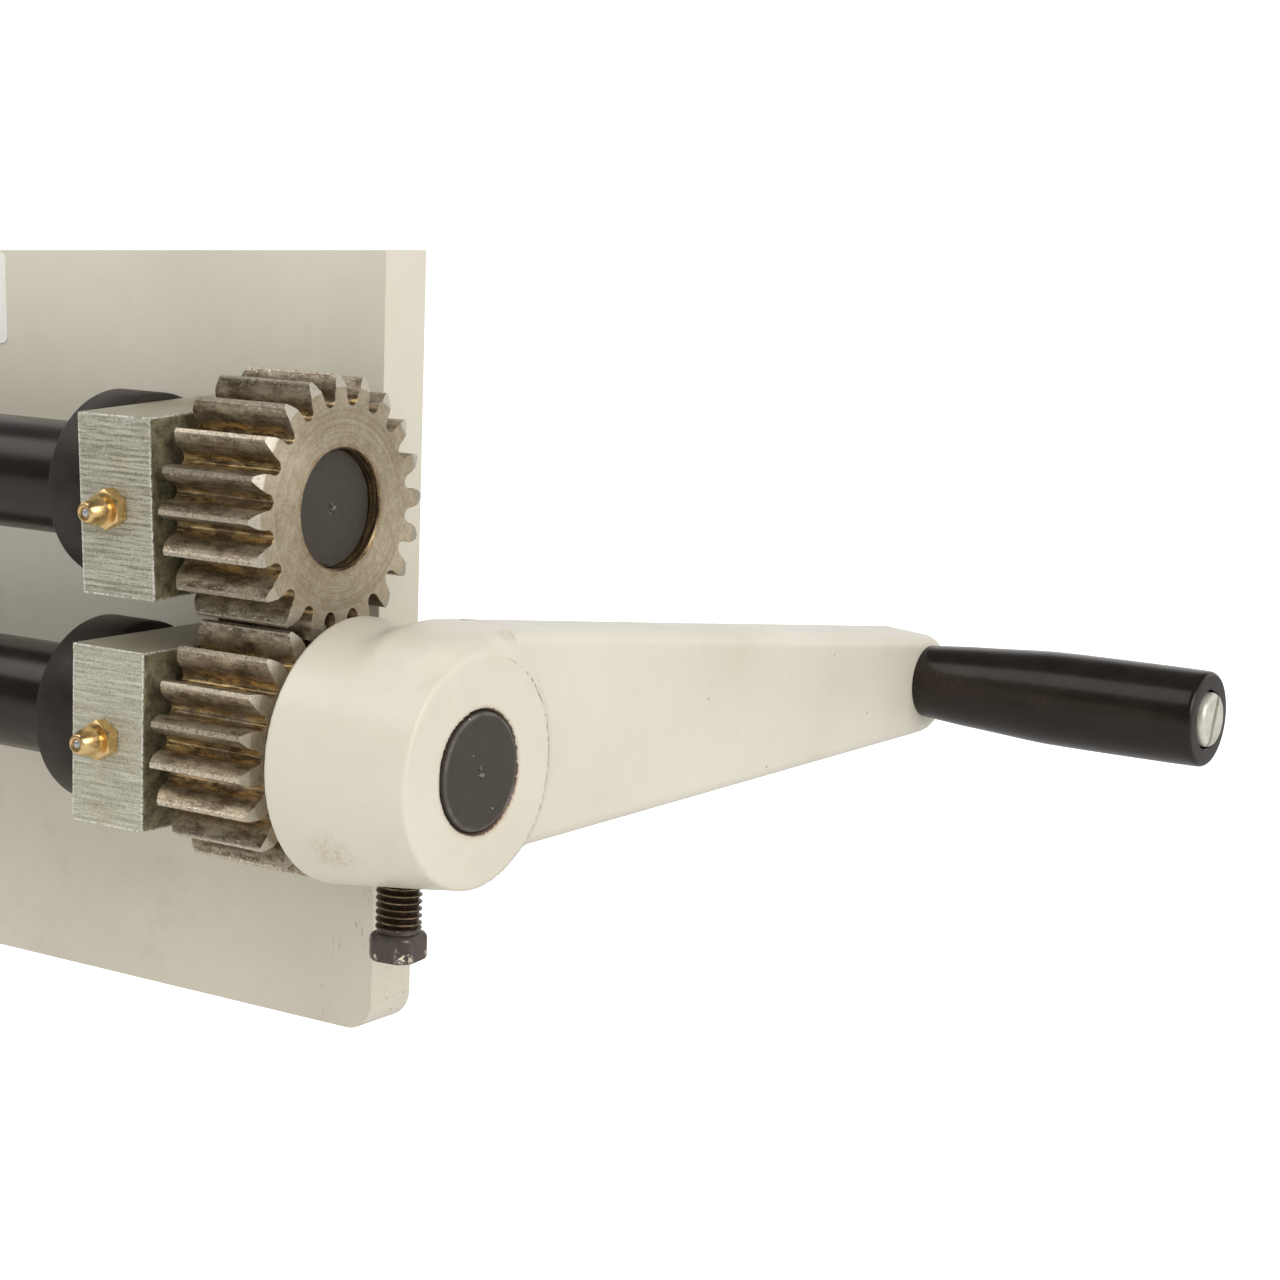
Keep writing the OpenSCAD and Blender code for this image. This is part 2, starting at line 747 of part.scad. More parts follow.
// One tooth as points [angle, radius], from its root on one side to its root on the other
function flank() = [for (i = [0:flank_steps]) gear_base_r + (gear_tip_r - gear_base_r) * i / flank_steps];
function tooth_points() = concat(
    [[-tooth_count_step / 2, gear_root_r], [-half_tooth(gear_base_r) - root_turn, gear_root_r]],
    [for (r = flank()) [-half_tooth(r), r]],
    [for (i = [flank_steps:-1:0]) [half_tooth(flank()[i]), flank()[i]]],
    [[half_tooth(gear_base_r) + root_turn, gear_root_r]]
);
root_turn = 1;

// Gear blank with teeth along X, from x0, with a tooth at the given angle
module gear(x0, turn) {
    difference() {
        intersection() {
            translate([x0, 0, 0]) rotate([90, 0, 90]) linear_extrude(gear_w)
                polygon([for (k = [0:gear_teeth - 1], p = tooth_points())
                    [p[1] * cos(turn + k * tooth_count_step + p[0]), p[1] * sin(turn + k * tooth_count_step + p[0])]]);
            turned_x([
                [x0, 0], [x0, gear_tip_r - gear_chamfer_in], [x0 + gear_chamfer, gear_tip_r],
                [x0 + gear_w - gear_chamfer, gear_tip_r], [x0 + gear_w, gear_tip_r - gear_chamfer_in],
                [x0 + gear_w, 0]
            ]);
        }
        rod_x(shaft_d + 2 * snug, x0 - over, gear_w + 2 * over);
        turned_x([
            [x0 + gear_w - mouth_chamfer, 0], [x0 + gear_w - mouth_chamfer, shaft_d / 2 + snug],
            [x0 + gear_w + over, shaft_d / 2 + snug + mouth_chamfer + over], [x0 + gear_w + over, 0]
        ]);
        children();
    }
}

module lower_gear() {
    color([0.6, 0.58, 0.54]) on_lower() gear(low_gear_x, low_gap_angle + tooth_count_step / 2)
        gear_pin_shape(gear_pin_d + 2 * snug, low_pin_x, low_gap_angle, 2 * gear_tip_r);
}

module upper_gear() {
    color([0.6, 0.58, 0.54]) on_upper() gear(up_gear_x, 270 + gear_phase)
        gear_pin_shape(gear_pin_d + 2 * snug, up_pin_x, up_gap_angle, 2 * gear_tip_r);
}

module lower_gear_pin() {
    color([0.3, 0.3, 0.3]) on_lower() gear_pin_shape(gear_pin_d, low_pin_x, low_gap_angle, pin_len);
}

module upper_gear_pin() {
    color([0.3, 0.3, 0.3]) on_upper() gear_pin_shape(gear_pin_d, up_pin_x, up_gap_angle, pin_len);
}

// Thrust washer between a gear and its rear block
module gear_washer(x0, room) {
    ring_x(shaft_d + collar_screw_d, shaft_d + 2 * run, x0, gear_gap - room - slide);
}

module lower_gear_washer() {
    color([0.45, 0.44, 0.42]) on_lower() gear_washer(low_gear_x - gear_gap + slide, 0);
}

module upper_gear_washer() {
    color([0.45, 0.44, 0.42]) on_upper() gear_washer(up_gear_x - gear_gap + slide + lean_room, lean_room);
}

// Shaft collar with a radial set screw hole that points down
module collar(x0) {
    difference() {
        turned_x([
            [x0, shaft_d / 2 + snug], [x0, collar_d / 2 - collar_edge], [x0 + collar_edge, collar_d / 2],
            [x0 + collar_w - collar_edge, collar_d / 2], [x0 + collar_w, collar_d / 2 - collar_edge],
            [x0 + collar_w, shaft_d / 2 + snug]
        ]);
        translate([x0 + collar_w / 2, 0, -collar_d / 2 - over])
            cylinder(d = collar_screw_d + 2 * snug, h = collar_d / 2);
    }
}

// Grub screw of a collar
module collar_screw(x0) {
    len = (collar_d - shaft_d) / 2 - collar_edge;
    translate([x0 + collar_w / 2, 0, -shaft_d / 2 - snug - len]) difference() {
        cylinder(d = collar_screw_d, h = len);
        translate([0, 0, -over]) cylinder(d = collar_screw_d / 2 * corner, h = len / 2 + over, $fn = 6);
    }
}

module lower_collar() {
    color([0.14, 0.13, 0.13]) on_lower() collar(low_collar_x);
}

module upper_collar() {
    color([0.14, 0.13, 0.13]) on_upper() collar(up_collar_x);
}

module lower_collar_screw() {
    color([0.3, 0.3, 0.3]) on_lower() collar_screw(low_collar_x);
}

module upper_collar_screw() {
    color([0.3, 0.3, 0.3]) on_upper() collar_screw(up_collar_x);
}

// Spacer, keyed rolls, washer and nut at the roll end of a shaft
module spacer() {
    ring_x(spacer_d, seat_d + 2 * snug, spacer_x, spacer_w - snug);
}

module key_cut(x0, len) {
    translate([x0 - over, -key_w / 2 - snug, 0])
        cube([len + 2 * over, key_w + 2 * snug, seat_d / 2 + key_w / 2 + snug]);
}

crimp_step = 360 / crimp_teeth;

// Crimping roll with thin tapering teeth, one of them at the given angle
module crimp_roll(turn) {
    tip = crimp_tip_share * crimp_step / 2;
    foot = crimp_foot_share * crimp_step / 2;
    difference() {
        translate([crimp_x + snug, 0, 0]) rotate([90, 0, 90]) linear_extrude(crimp_w - 2 * snug)
            polygon([for (k = [0:crimp_teeth - 1], p = [
                [-foot, crimp_root_r], [-tip, crimp_tip_r], [tip, crimp_tip_r], [foot, crimp_root_r]
            ]) [p[1] * cos(turn + k * crimp_step + p[0]), p[1] * sin(turn + k * crimp_step + p[0])]]);
        rod_x(seat_d + 2 * snug, crimp_x - over, crimp_w + 2 * over);
        key_cut(crimp_x, crimp_w);
    }
}

// Beading roll: a rim that carries a ring, or one with a groove for it
module bead_blank(rim_r) {
    difference() {
        rod_x(2 * rim_r, bead_x, bead_w);
        rod_x(seat_d + 2 * snug, bead_x - over, bead_w + 2 * over);
        key_cut(bead_x, bead_w);
    }
}

module bead_ring(centre_r, r) {
    translate([bead_x + bead_w / 2, 0, 0]) rotate([0, 90, 0])
        rotate_extrude() translate([centre_r, 0]) circle(r = r);
}

module lower_spacer() {
    color([0.3, 0.3, 0.3]) on_lower() spacer();
}

module upper_spacer() {
    color([0.3, 0.3, 0.3]) on_upper() spacer();
}

module lower_crimp_roll() {
    color([0.55, 0.55, 0.55]) on_lower() crimp_roll(90);
}

module upper_crimp_roll() {
    color([0.55, 0.55, 0.55]) on_upper() crimp_roll(270 + crimp_step / 2);
}

module lower_bead_roll() {
    color([0.55, 0.55, 0.55]) on_lower() difference() {
        bead_blank(bead_rim_low_r);
        bead_ring(bead_rim_low_r, bead_r + nip);
    }
}

module upper_bead_roll() {
    color([0.55, 0.55, 0.55]) on_upper() union() {
        bead_blank(bead_rim_up_r);
        bead_ring(bead_rim_up_r, bead_r);
    }
}

module roll_key() {
    translate([bead_x + snug, -key_w / 2 + snug, seat_d / 2 - key_w / 2 + snug])
        cube([key_len - 2 * snug, key_w - 2 * snug, key_w - 2 * snug]);
}

module lower_roll_key() {
    color([0.3, 0.3, 0.3]) on_lower() roll_key();
}

module upper_roll_key() {
    color([0.3, 0.3, 0.3]) on_upper() roll_key();
}

module roll_washer() {
    ring_x(end_thread_d * washer_share, end_thread_d + 2 * snug, roll_washer_x, washer_t - snug);
}

module lower_roll_washer() {
    color([0.62, 0.62, 0.6]) on_lower() roll_washer();
}

module upper_roll_washer() {
    color([0.62, 0.62, 0.6]) on_upper() roll_washer();
}

module roll_nut() {
    difference() {
        translate([roll_nut_x, 0, 0]) rotate([0, 90, 0])
            cylinder(d = end_thread_d * hex_share * corner, h = nut_h - snug, $fn = 6);
        rod_x(end_thread_d + 2 * snug, roll_nut_x - over, nut_h + 2 * over);
    }
}

module lower_roll_nut() {
    color([0.3, 0.3, 0.3]) on_lower() roll_nut();
}

module upper_roll_nut() {
    color([0.3, 0.3, 0.3]) on_upper() roll_nut();
}

// Keeper over the thrust pad, on top of the far upper block
module screw_keeper() {
    color([0.62, 0.62, 0.6]) on_upper() translate([far_x, 0, block_h / 2]) difference() {
        translate([-block_w / 2, -keeper_len / 2, 0]) cube([block_w, keeper_len, keeper_h]);
        translate([0, 0, -over]) cylinder(d = pad_d + 2 * pad_room, h = over + pad_h + 2 * slide);
        cylinder(d = neck_d + 2 * neck_room, h = keeper_h + over);
        for (s = [-1, 1]) translate([0, s * keeper_screw_y, -over])
            cylinder(d = keeper_screw_d + 2 * bolt_gap, h = keeper_h + 2 * over);
        for (s = [-1, 1]) translate([0, s * keeper_screw_y, keeper_h - keeper_sink])
            cylinder(d = keeper_screw_d * keeper_head_share + 2 * bolt_gap, h = keeper_sink + over);
    }
}

module keeper_screws() {
    color([0.3, 0.3, 0.3]) on_upper() for (s = [-1, 1])
        translate([far_x, s * keeper_screw_y, block_h / 2]) {
            translate([0, 0, keeper_h - keeper_sink])
                cylinder(d = keeper_screw_d * keeper_head_share, h = keeper_sink);
            translate([0, 0, -keeper_deep + bolt_gap])
                cylinder(d = keeper_screw_d, h = keeper_deep - bolt_gap + keeper_h - keeper_sink + over / 2);
        }
}

module thrust_pad() {
    color([0.72, 0.55, 0.3]) on_upper() translate([far_x, 0, pad_z]) difference() {
        cylinder(d = pad_d, h = pad_h);
        translate([0, 0, pad_h - pad_seat]) cylinder(d = neck_d + 2 * run, h = pad_seat + over);
    }
}

module adjusting_screw() {
    neck_z = pad_z + pad_h - pad_seat + snug;
    color([0.3, 0.3, 0.3]) on_upper() translate([far_x, 0, 0]) difference() {
        union() {
            translate([0, 0, neck_z]) cylinder(d = neck_d, h = screw_low_z - neck_z + over);
            translate([0, 0, screw_low_z]) cylinder(d = screw_d, h = screw_head_z - screw_low_z + over);
            translate([0, 0, screw_head_z]) cylinder(d = screw_head_d, h = screw_head_h);
        }
        translate([0, 0, screw_head_z + screw_head_h / 2])
            rod_y(bar_d + 2 * snug, -screw_head_d, 2 * screw_head_d);
    }
}

module handle_bar() {
    color([0.6, 0.6, 0.6]) on_upper() translate([far_x, 0, screw_head_z + screw_head_h / 2])
        rod_y(bar_d, -bar_len / 2, bar_len);
}

module bar_knobs() {
    seat = bar_len / 2 - knob_grip;
    color([0.08, 0.08, 0.08]) on_upper() translate([far_x, 0, screw_head_z + screw_head_h / 2])
        for (a = [0, 180]) rotate([0, 0, a]) difference() {
            translate([0, seat + knob_d / 2, 0]) sphere(d = knob_d);
            rod_y(bar_d + 2 * snug, 0, bar_len / 2 + snug);
        }
}

// Crank: tapered hub with a rounded front edge, and a flat arm to the grip's round boss
module crank_arm() {
    turn = -crank_rest;
    arc = [for (a = [0:15:90]) [hub_end - hub_round * (1 - sin(a)), hub_front_r - hub_round * (1 - cos(a))]];
    color([0.85, 0.82, 0.74]) on_lower() difference() {
        union() {
            turned_x(concat(
                [[hub_x, 0], [hub_x, hub_r - hub_edge], [hub_x + hub_edge, hub_r]], arc, [[hub_end, 0]]
            ));
            hull() {
                arm_rod(arm_rod_y, arm_top - arm_rod_r, arm_rod_r);
                arm_rod(arm_rod_y, arm_rod_r - arm_bottom, arm_rod_r);
                arm_rod(crank_r * cos(turn), crank_r * sin(turn), arm_end_r);
            }
        }
        rod_x(shaft_d + 2 * snug, hub_x - over, hub_len + 2 * over);
        translate([set_x, 0, -hub_r - over]) cylinder(d = set_d + 2 * snug, h = hub_r);
        translate([0, crank_r * cos(turn), crank_r * sin(turn)])
            rod_x(spindle_d + 2 * snug, arm_x0 - over, arm_t + 2 * over);
    }
}

// One end of the arm: a short rod along X with a rounded front edge
module arm_rod(y, z, r) {
    for (a = [0:30:90]) {
        top = arm_x1 - arm_round * (1 - sin(a));
        translate([arm_x0, y, z]) rotate([0, 90, 0])
            cylinder(r1 = r, r2 = r - arm_draft - arm_round * (1 - cos(a)), h = top - arm_x0, $fn = hull_fn);
    }
}

// Square head set screw that locks the crank to the shaft, its head below the hub
module crank_set_screw() {
    tip_z = -shaft_d / 2 + set_point - snug;
    neck_z = -hub_r - set_out;
    head_z = neck_z - set_neck;
    color([0.12, 0.12, 0.12]) on_lower() translate([set_x, 0, 0]) {
        translate([0, 0, neck_z]) cylinder(d = set_d, h = tip_z - neck_z);
        translate([0, 0, head_z - over / 2]) cylinder(d = set_neck_d, h = set_neck + over);
        rotate([0, 0, set_turn]) intersection() {
            translate([-set_head_w / 2, -set_head_w / 2, head_z - set_head_h])
                cube([set_head_w, set_head_w, set_head_h]);
            translate([0, 0, head_z - set_head_h]) rotate_extrude() polygon([
                [0, 0], [set_head_w / 2, 0], [set_head_d / 2, set_dome], [set_head_d / 2, set_head_h - set_dome],
                [set_head_w / 2, set_head_h], [0, set_head_h]
            ]);
        }
    }
}

// Places a child on the grip axis
module on_grip() {
    on_lower() translate([0, crank_r * cos(crank_rest), -crank_r * sin(crank_rest)]) children();
}

grip_end = grip_x + grip_len;

module crank_grip() {
    color([0.03, 0.03, 0.03]) on_grip() difference() {
        turned_x(concat(
            [[grip_x, 0]], [for (s = grip_shares) [grip_x + s[0] * grip_len, s[1] * grip_r]], [[grip_end, 0]]
        ));
        rod_x(spindle_d + 2 * run, grip_x - over, grip_len + 2 * over);
        rod_x(spindle_head_d + 2 * pass, grip_end - grip_sink, grip_sink + over);
    }
}

module grip_spindle() {
    head_x = grip_end - grip_sink + slide;
    color([0.7, 0.7, 0.68]) on_grip() difference() {
        union() {
            rod_x(spindle_d, arm_x0, head_x - arm_x0 + over);
            rod_x(spindle_head_d, head_x, spindle_head_h);
        }
        translate([head_x + spindle_head_h - slot_h, 0, 0]) rotate([-slot_turn, 0, 0])
            translate([0, -slot_w / 2, -spindle_head_d]) cube([slot_h + over, slot_w, 2 * spindle_head_d]);
    }
}

frame_plate();
pedestal_base();
pedestal_column();
pedestal_saddle();
saddle_bolts();
saddle_nuts();
saddle_washers();
lower_rear_block();
lower_front_block();
lower_bushes();
lower_nipples();
block_bolts();
block_washers();
screw_yoke();
yoke_bolts();
yoke_washers();
lower_shaft();
lower_gear();
lower_gear_pin();
lower_gear_washer();
lower_collar();
lower_collar_screw();
lower_spacer();
lower_crimp_roll();
lower_bead_roll();
lower_roll_key();
lower_roll_washer();
lower_roll_nut();
crank_arm();
crank_set_screw();
grip_spindle();
crank_grip();
upper_rear_block();
upper_front_block();
upper_bushes();
upper_nipples();
pivot_bolt();
pivot_washer();
screw_keeper();
keeper_screws();
upper_shaft();
upper_gear();
upper_gear_pin();
upper_gear_washer();
upper_collar();
upper_collar_screw();
upper_spacer();
upper_crimp_roll();
upper_bead_roll();
upper_roll_key();
upper_roll_washer();
upper_roll_nut();
thrust_pad();
adjusting_screw();
handle_bar();
bar_knobs();
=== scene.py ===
# Looks of the hand cranked crimper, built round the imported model. Lengths are in metres.
import json
import math

import bmesh
import bpy
import numpy as np
from mathutils import Matrix, Vector


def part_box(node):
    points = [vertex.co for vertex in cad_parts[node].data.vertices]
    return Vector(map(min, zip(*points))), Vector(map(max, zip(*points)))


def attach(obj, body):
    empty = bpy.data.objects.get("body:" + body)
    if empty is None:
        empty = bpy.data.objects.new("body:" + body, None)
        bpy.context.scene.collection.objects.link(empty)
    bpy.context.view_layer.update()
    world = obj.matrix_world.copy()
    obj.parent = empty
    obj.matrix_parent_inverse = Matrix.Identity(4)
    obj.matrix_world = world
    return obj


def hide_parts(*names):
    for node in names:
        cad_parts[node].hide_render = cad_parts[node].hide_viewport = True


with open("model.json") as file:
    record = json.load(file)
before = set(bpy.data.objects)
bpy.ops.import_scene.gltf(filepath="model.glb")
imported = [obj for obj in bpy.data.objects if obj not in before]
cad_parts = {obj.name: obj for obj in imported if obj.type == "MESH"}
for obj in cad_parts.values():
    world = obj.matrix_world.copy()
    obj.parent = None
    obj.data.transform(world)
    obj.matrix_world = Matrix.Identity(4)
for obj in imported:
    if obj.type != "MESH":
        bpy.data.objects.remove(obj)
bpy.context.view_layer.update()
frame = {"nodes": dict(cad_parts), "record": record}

MM = 0.001
RECORD = frame["record"]
BODY_OF = {n: b for b, nodes in RECORD["behaviour"]["bodies"].items() for n in nodes}


def angles(degrees):
    return [math.radians(t) for t in degrees]


# Places taken from the frame: the two shaft axes, the grip axis and the main faces along X
def middle(node):
    low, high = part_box(node)
    return (low + high) / 2


LOW_AXIS = middle("lower_shaft")
UP_AXIS = middle("upper_shaft")
GRIP_AXIS = middle("crank_grip")
GEAR_FACE_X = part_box("upper_gear")[1].x
HUB_BACK_X, HUB_FRONT_X = (v.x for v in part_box("crank_arm"))
PLATE_LOW, PLATE_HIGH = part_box("frame_plate")


# Camera, as the photograph was taken
CAMERA_PLACE = (0.695024, -0.495709, 0.359301)
CAMERA_TURN = (81.0328, -1.9886, 33.5283)
CAMERA_LENS = 80.82
SENSOR = 36


def make_camera():
    data = bpy.data.cameras.new("camera")
    data.lens = CAMERA_LENS
    data.sensor_width = SENSOR
    data.clip_start = 0.01
    data.clip_end = 50
    camera = bpy.data.objects.new("camera", data)
    camera.location = CAMERA_PLACE
    camera.rotation_euler = angles(CAMERA_TURN)
    bpy.context.scene.collection.objects.link(camera)
    bpy.context.scene.camera = camera


# Meshes
SIDES = 96
SIDES_FINE = 120
SIDES_BIG = 128
SHARP = math.radians(32)
BEVEL_ANGLE = math.radians(28)
SOFT_ANGLE = math.radians(40)
FLAT_ANGLE = math.radians(0.4)
WELD = 0.002 * MM
RINGS_PER_PITCH = 10
THREAD_CREST = 0.1
THREAD_FLANK = 0.75
RUN_OUT_RINGS = 4


def shade(bm, sharp):
    """Smooth faces, with the edges sharper than an angle kept."""
    for edge in bm.edges:
        edge.smooth = len(edge.link_faces) == 2 and edge.calc_face_angle(0) < sharp
    for face in bm.faces:
        face.smooth = True


def to_object(bm, name, sharp=SHARP):
    bmesh.ops.recalc_face_normals(bm, faces=bm.faces)
    shade(bm, sharp)
    mesh = bpy.data.meshes.new(name)
    bm.to_mesh(mesh)
    bm.free()
    obj = bpy.data.objects.new(name, mesh)
    bpy.context.scene.collection.objects.link(obj)
    return obj


def loft_into(bm, rings, place=Matrix(), closed=False):
    """Joins rings of points, all of one length, into a tube; closed joins the last ring to the first."""
    rows = [[bm.verts.new(place @ Vector(p)) for p in ring] for ring in rings]
    pairs = list(zip(rows, rows[1:]))
    if closed:
        pairs.append((rows[-1], rows[0]))
    for a, b in pairs:
        for i in range(len(a)):
            j = (i + 1) % len(a)
            bm.faces.new((a[i], a[j], b[j], b[i]))
    if not closed:
        bm.faces.new(rows[0][::-1])
        bm.faces.new(rows[-1])


def circle(x, radius, count=SIDES):
    turn = 2 * math.pi / count
    return [(x, radius * math.cos(i * turn), radius * math.sin(i * turn)) for i in range(count)]


def on_axis(axis):
    """Matrix that takes a piece made round the X axis to a shaft's axis."""
    return Matrix.Translation((0, axis.y, axis.z))


def turned(name, profile, axis, count=SIDES, closed=False):
    bm = bmesh.new()
    loft_into(bm, [circle(x, r, count) for x, r in profile], on_axis(axis), closed)
    return to_object(bm, name)


def thread_rings(x0, x1, radius, pitch, depth, count=SIDES):
    """Rings of a screw thread along X: the radius follows the helix, and the groove runs out at both ends."""
    steps = round((x1 - x0) / pitch * RINGS_PER_PITCH)
    rings = []
    for k in range(steps + 1):
        x = x0 + (x1 - x0) * k / steps
        ring = []
        for i in range(count):
            share = i / count
            phase = ((x - x0) / pitch + share) % 1
            tooth = 1 - abs(2 * phase - 1)
            groove = 1 - min(1, max(0, (tooth - THREAD_CREST) / THREAD_FLANK))
            r = radius - depth * groove * min(1, k / RUN_OUT_RINGS, (steps - k) / RUN_OUT_RINGS)
            turn = 2 * math.pi * share
            ring.append((x, r * math.cos(turn), r * math.sin(turn)))
        rings.append(ring)
    return rings


def polygon_ring(x, flat, outer, sides, turn=0.0):
    """Ring of a bar with flats: the radius is the flat's, and no more than the turned corner's."""
    ring = []
    for i in range(SIDES_FINE):
        a = 2 * math.pi * i / SIDES_FINE
        local = (a + math.pi / sides) % (2 * math.pi / sides) - math.pi / sides
        r = min(flat / math.cos(local), outer)
        ring.append((x, r * math.cos(a + turn), r * math.sin(a + turn)))
    return ring


def hex_rings(x0, x1, flats):
    """Rings of a hexagon whose corners are turned off at its outer end."""
    flat = flats / 2
    corner = flat / math.cos(math.pi / 6)
    turned_off = corner - flat * CORNER_SHARE
    depth = turned_off * math.tan(math.radians(30))
    rings = [polygon_ring(x0, flat, corner, 6)]
    for t in (i / 5 for i in range(6)):
        rings.append(polygon_ring(x1 - depth * (1 - t), flat, corner - turned_off * t, 6))
    return rings


def softened(node, width, segments):
    """Copy of a CAD node's mesh with its edges rounded."""
    bm = bmesh.new()
    bm.from_mesh(frame["nodes"][node].data)
    bmesh.ops.remove_doubles(bm, verts=bm.verts, dist=WELD)
    bmesh.ops.dissolve_limit(bm, angle_limit=FLAT_ANGLE, verts=bm.verts, edges=bm.edges)
    edges = [e for e in bm.edges if len(e.link_faces) == 2 and e.calc_face_angle(0) > BEVEL_ANGLE]
    bmesh.ops.bevel(
        bm, geom=edges, offset=width, segments=segments, profile=0.6, affect="EDGES", clamp_overlap=True
    )
    return to_object(bm, node + "_shape", SOFT_ANGLE)


def dress(piece, node, material):
    """Gives a piece its finish and body, and lets it stand for a CAD node."""
    piece.data.materials.clear()
    piece.data.materials.append(material)
    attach(piece, BODY_OF[node])
    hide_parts(node)


def boolean(piece, operation, helper):
    modifier = piece.modifiers.new("boolean", "BOOLEAN")
    modifier.operation = operation
    modifier.solver = "EXACT"
    modifier.object = helper


def apply_all(piece, helper):
    """Keeps the result of a piece's modifiers as plain mesh, and deletes the object that they used."""
    depsgraph = bpy.context.evaluated_depsgraph_get()
    mesh = bpy.data.meshes.new_from_object(piece.evaluated_get(depsgraph))
    piece.modifiers.clear()
    piece.data = mesh
    bpy.data.objects.remove(helper)
    bm = bmesh.new()
    bm.from_mesh(mesh)
    shade(bm, SHARP)
    bm.to_mesh(mesh)
    bm.free()


# Materials: a small builder for node trees. A Finish works in millimetres of the shared frame.
class Nodes:
    def __init__(self, owner, out):
        owner.use_nodes = True
        self.tree = owner.node_tree
        self.tree.nodes.clear()
        self.out = self.tree.nodes.new(out).inputs[0]

    def node(self, kind, inputs=None, **settings):
        node = self.tree.nodes.new(kind)
        for key, value in settings.items():
            setattr(node, key, value)
        for key, value in (inputs or {}).items():
            self.feed(node.inputs[key], value)
        return node

    def feed(self, socket, value):
        if isinstance(value, bpy.types.NodeSocket):
            self.tree.links.new(value, socket)
        elif isinstance(value, (tuple, list)) and socket.type == "RGBA" and len(value) == 3:
            socket.default_value = (*value, 1)
        else:
            socket.default_value = value

    def math(self, operation, a, b=0.0):
        return self.node("ShaderNodeMath", {0: a, 1: b}, operation=operation).outputs[0]

    def times(self, value, *others):
        for other in others:
            value = self.math("MULTIPLY", value, other)
        return value

    def rest(self, value):
        return self.math("SUBTRACT", 1.0, value)

    def step(self, value, low, high):
        """Smooth step of a value from 0 at low to 1 at high."""
        return self.node("ShaderNodeMapRange", {0: value, 1: low, 2: high, 3: 0.0, 4: 1.0},
                         interpolation_type="SMOOTHSTEP").outputs[0]

    def remap(self, value, low, high, to_low, to_high):
        return self.node("ShaderNodeMapRange", {0: value, 1: low, 2: high, 3: to_low, 4: to_high}).outputs[0]


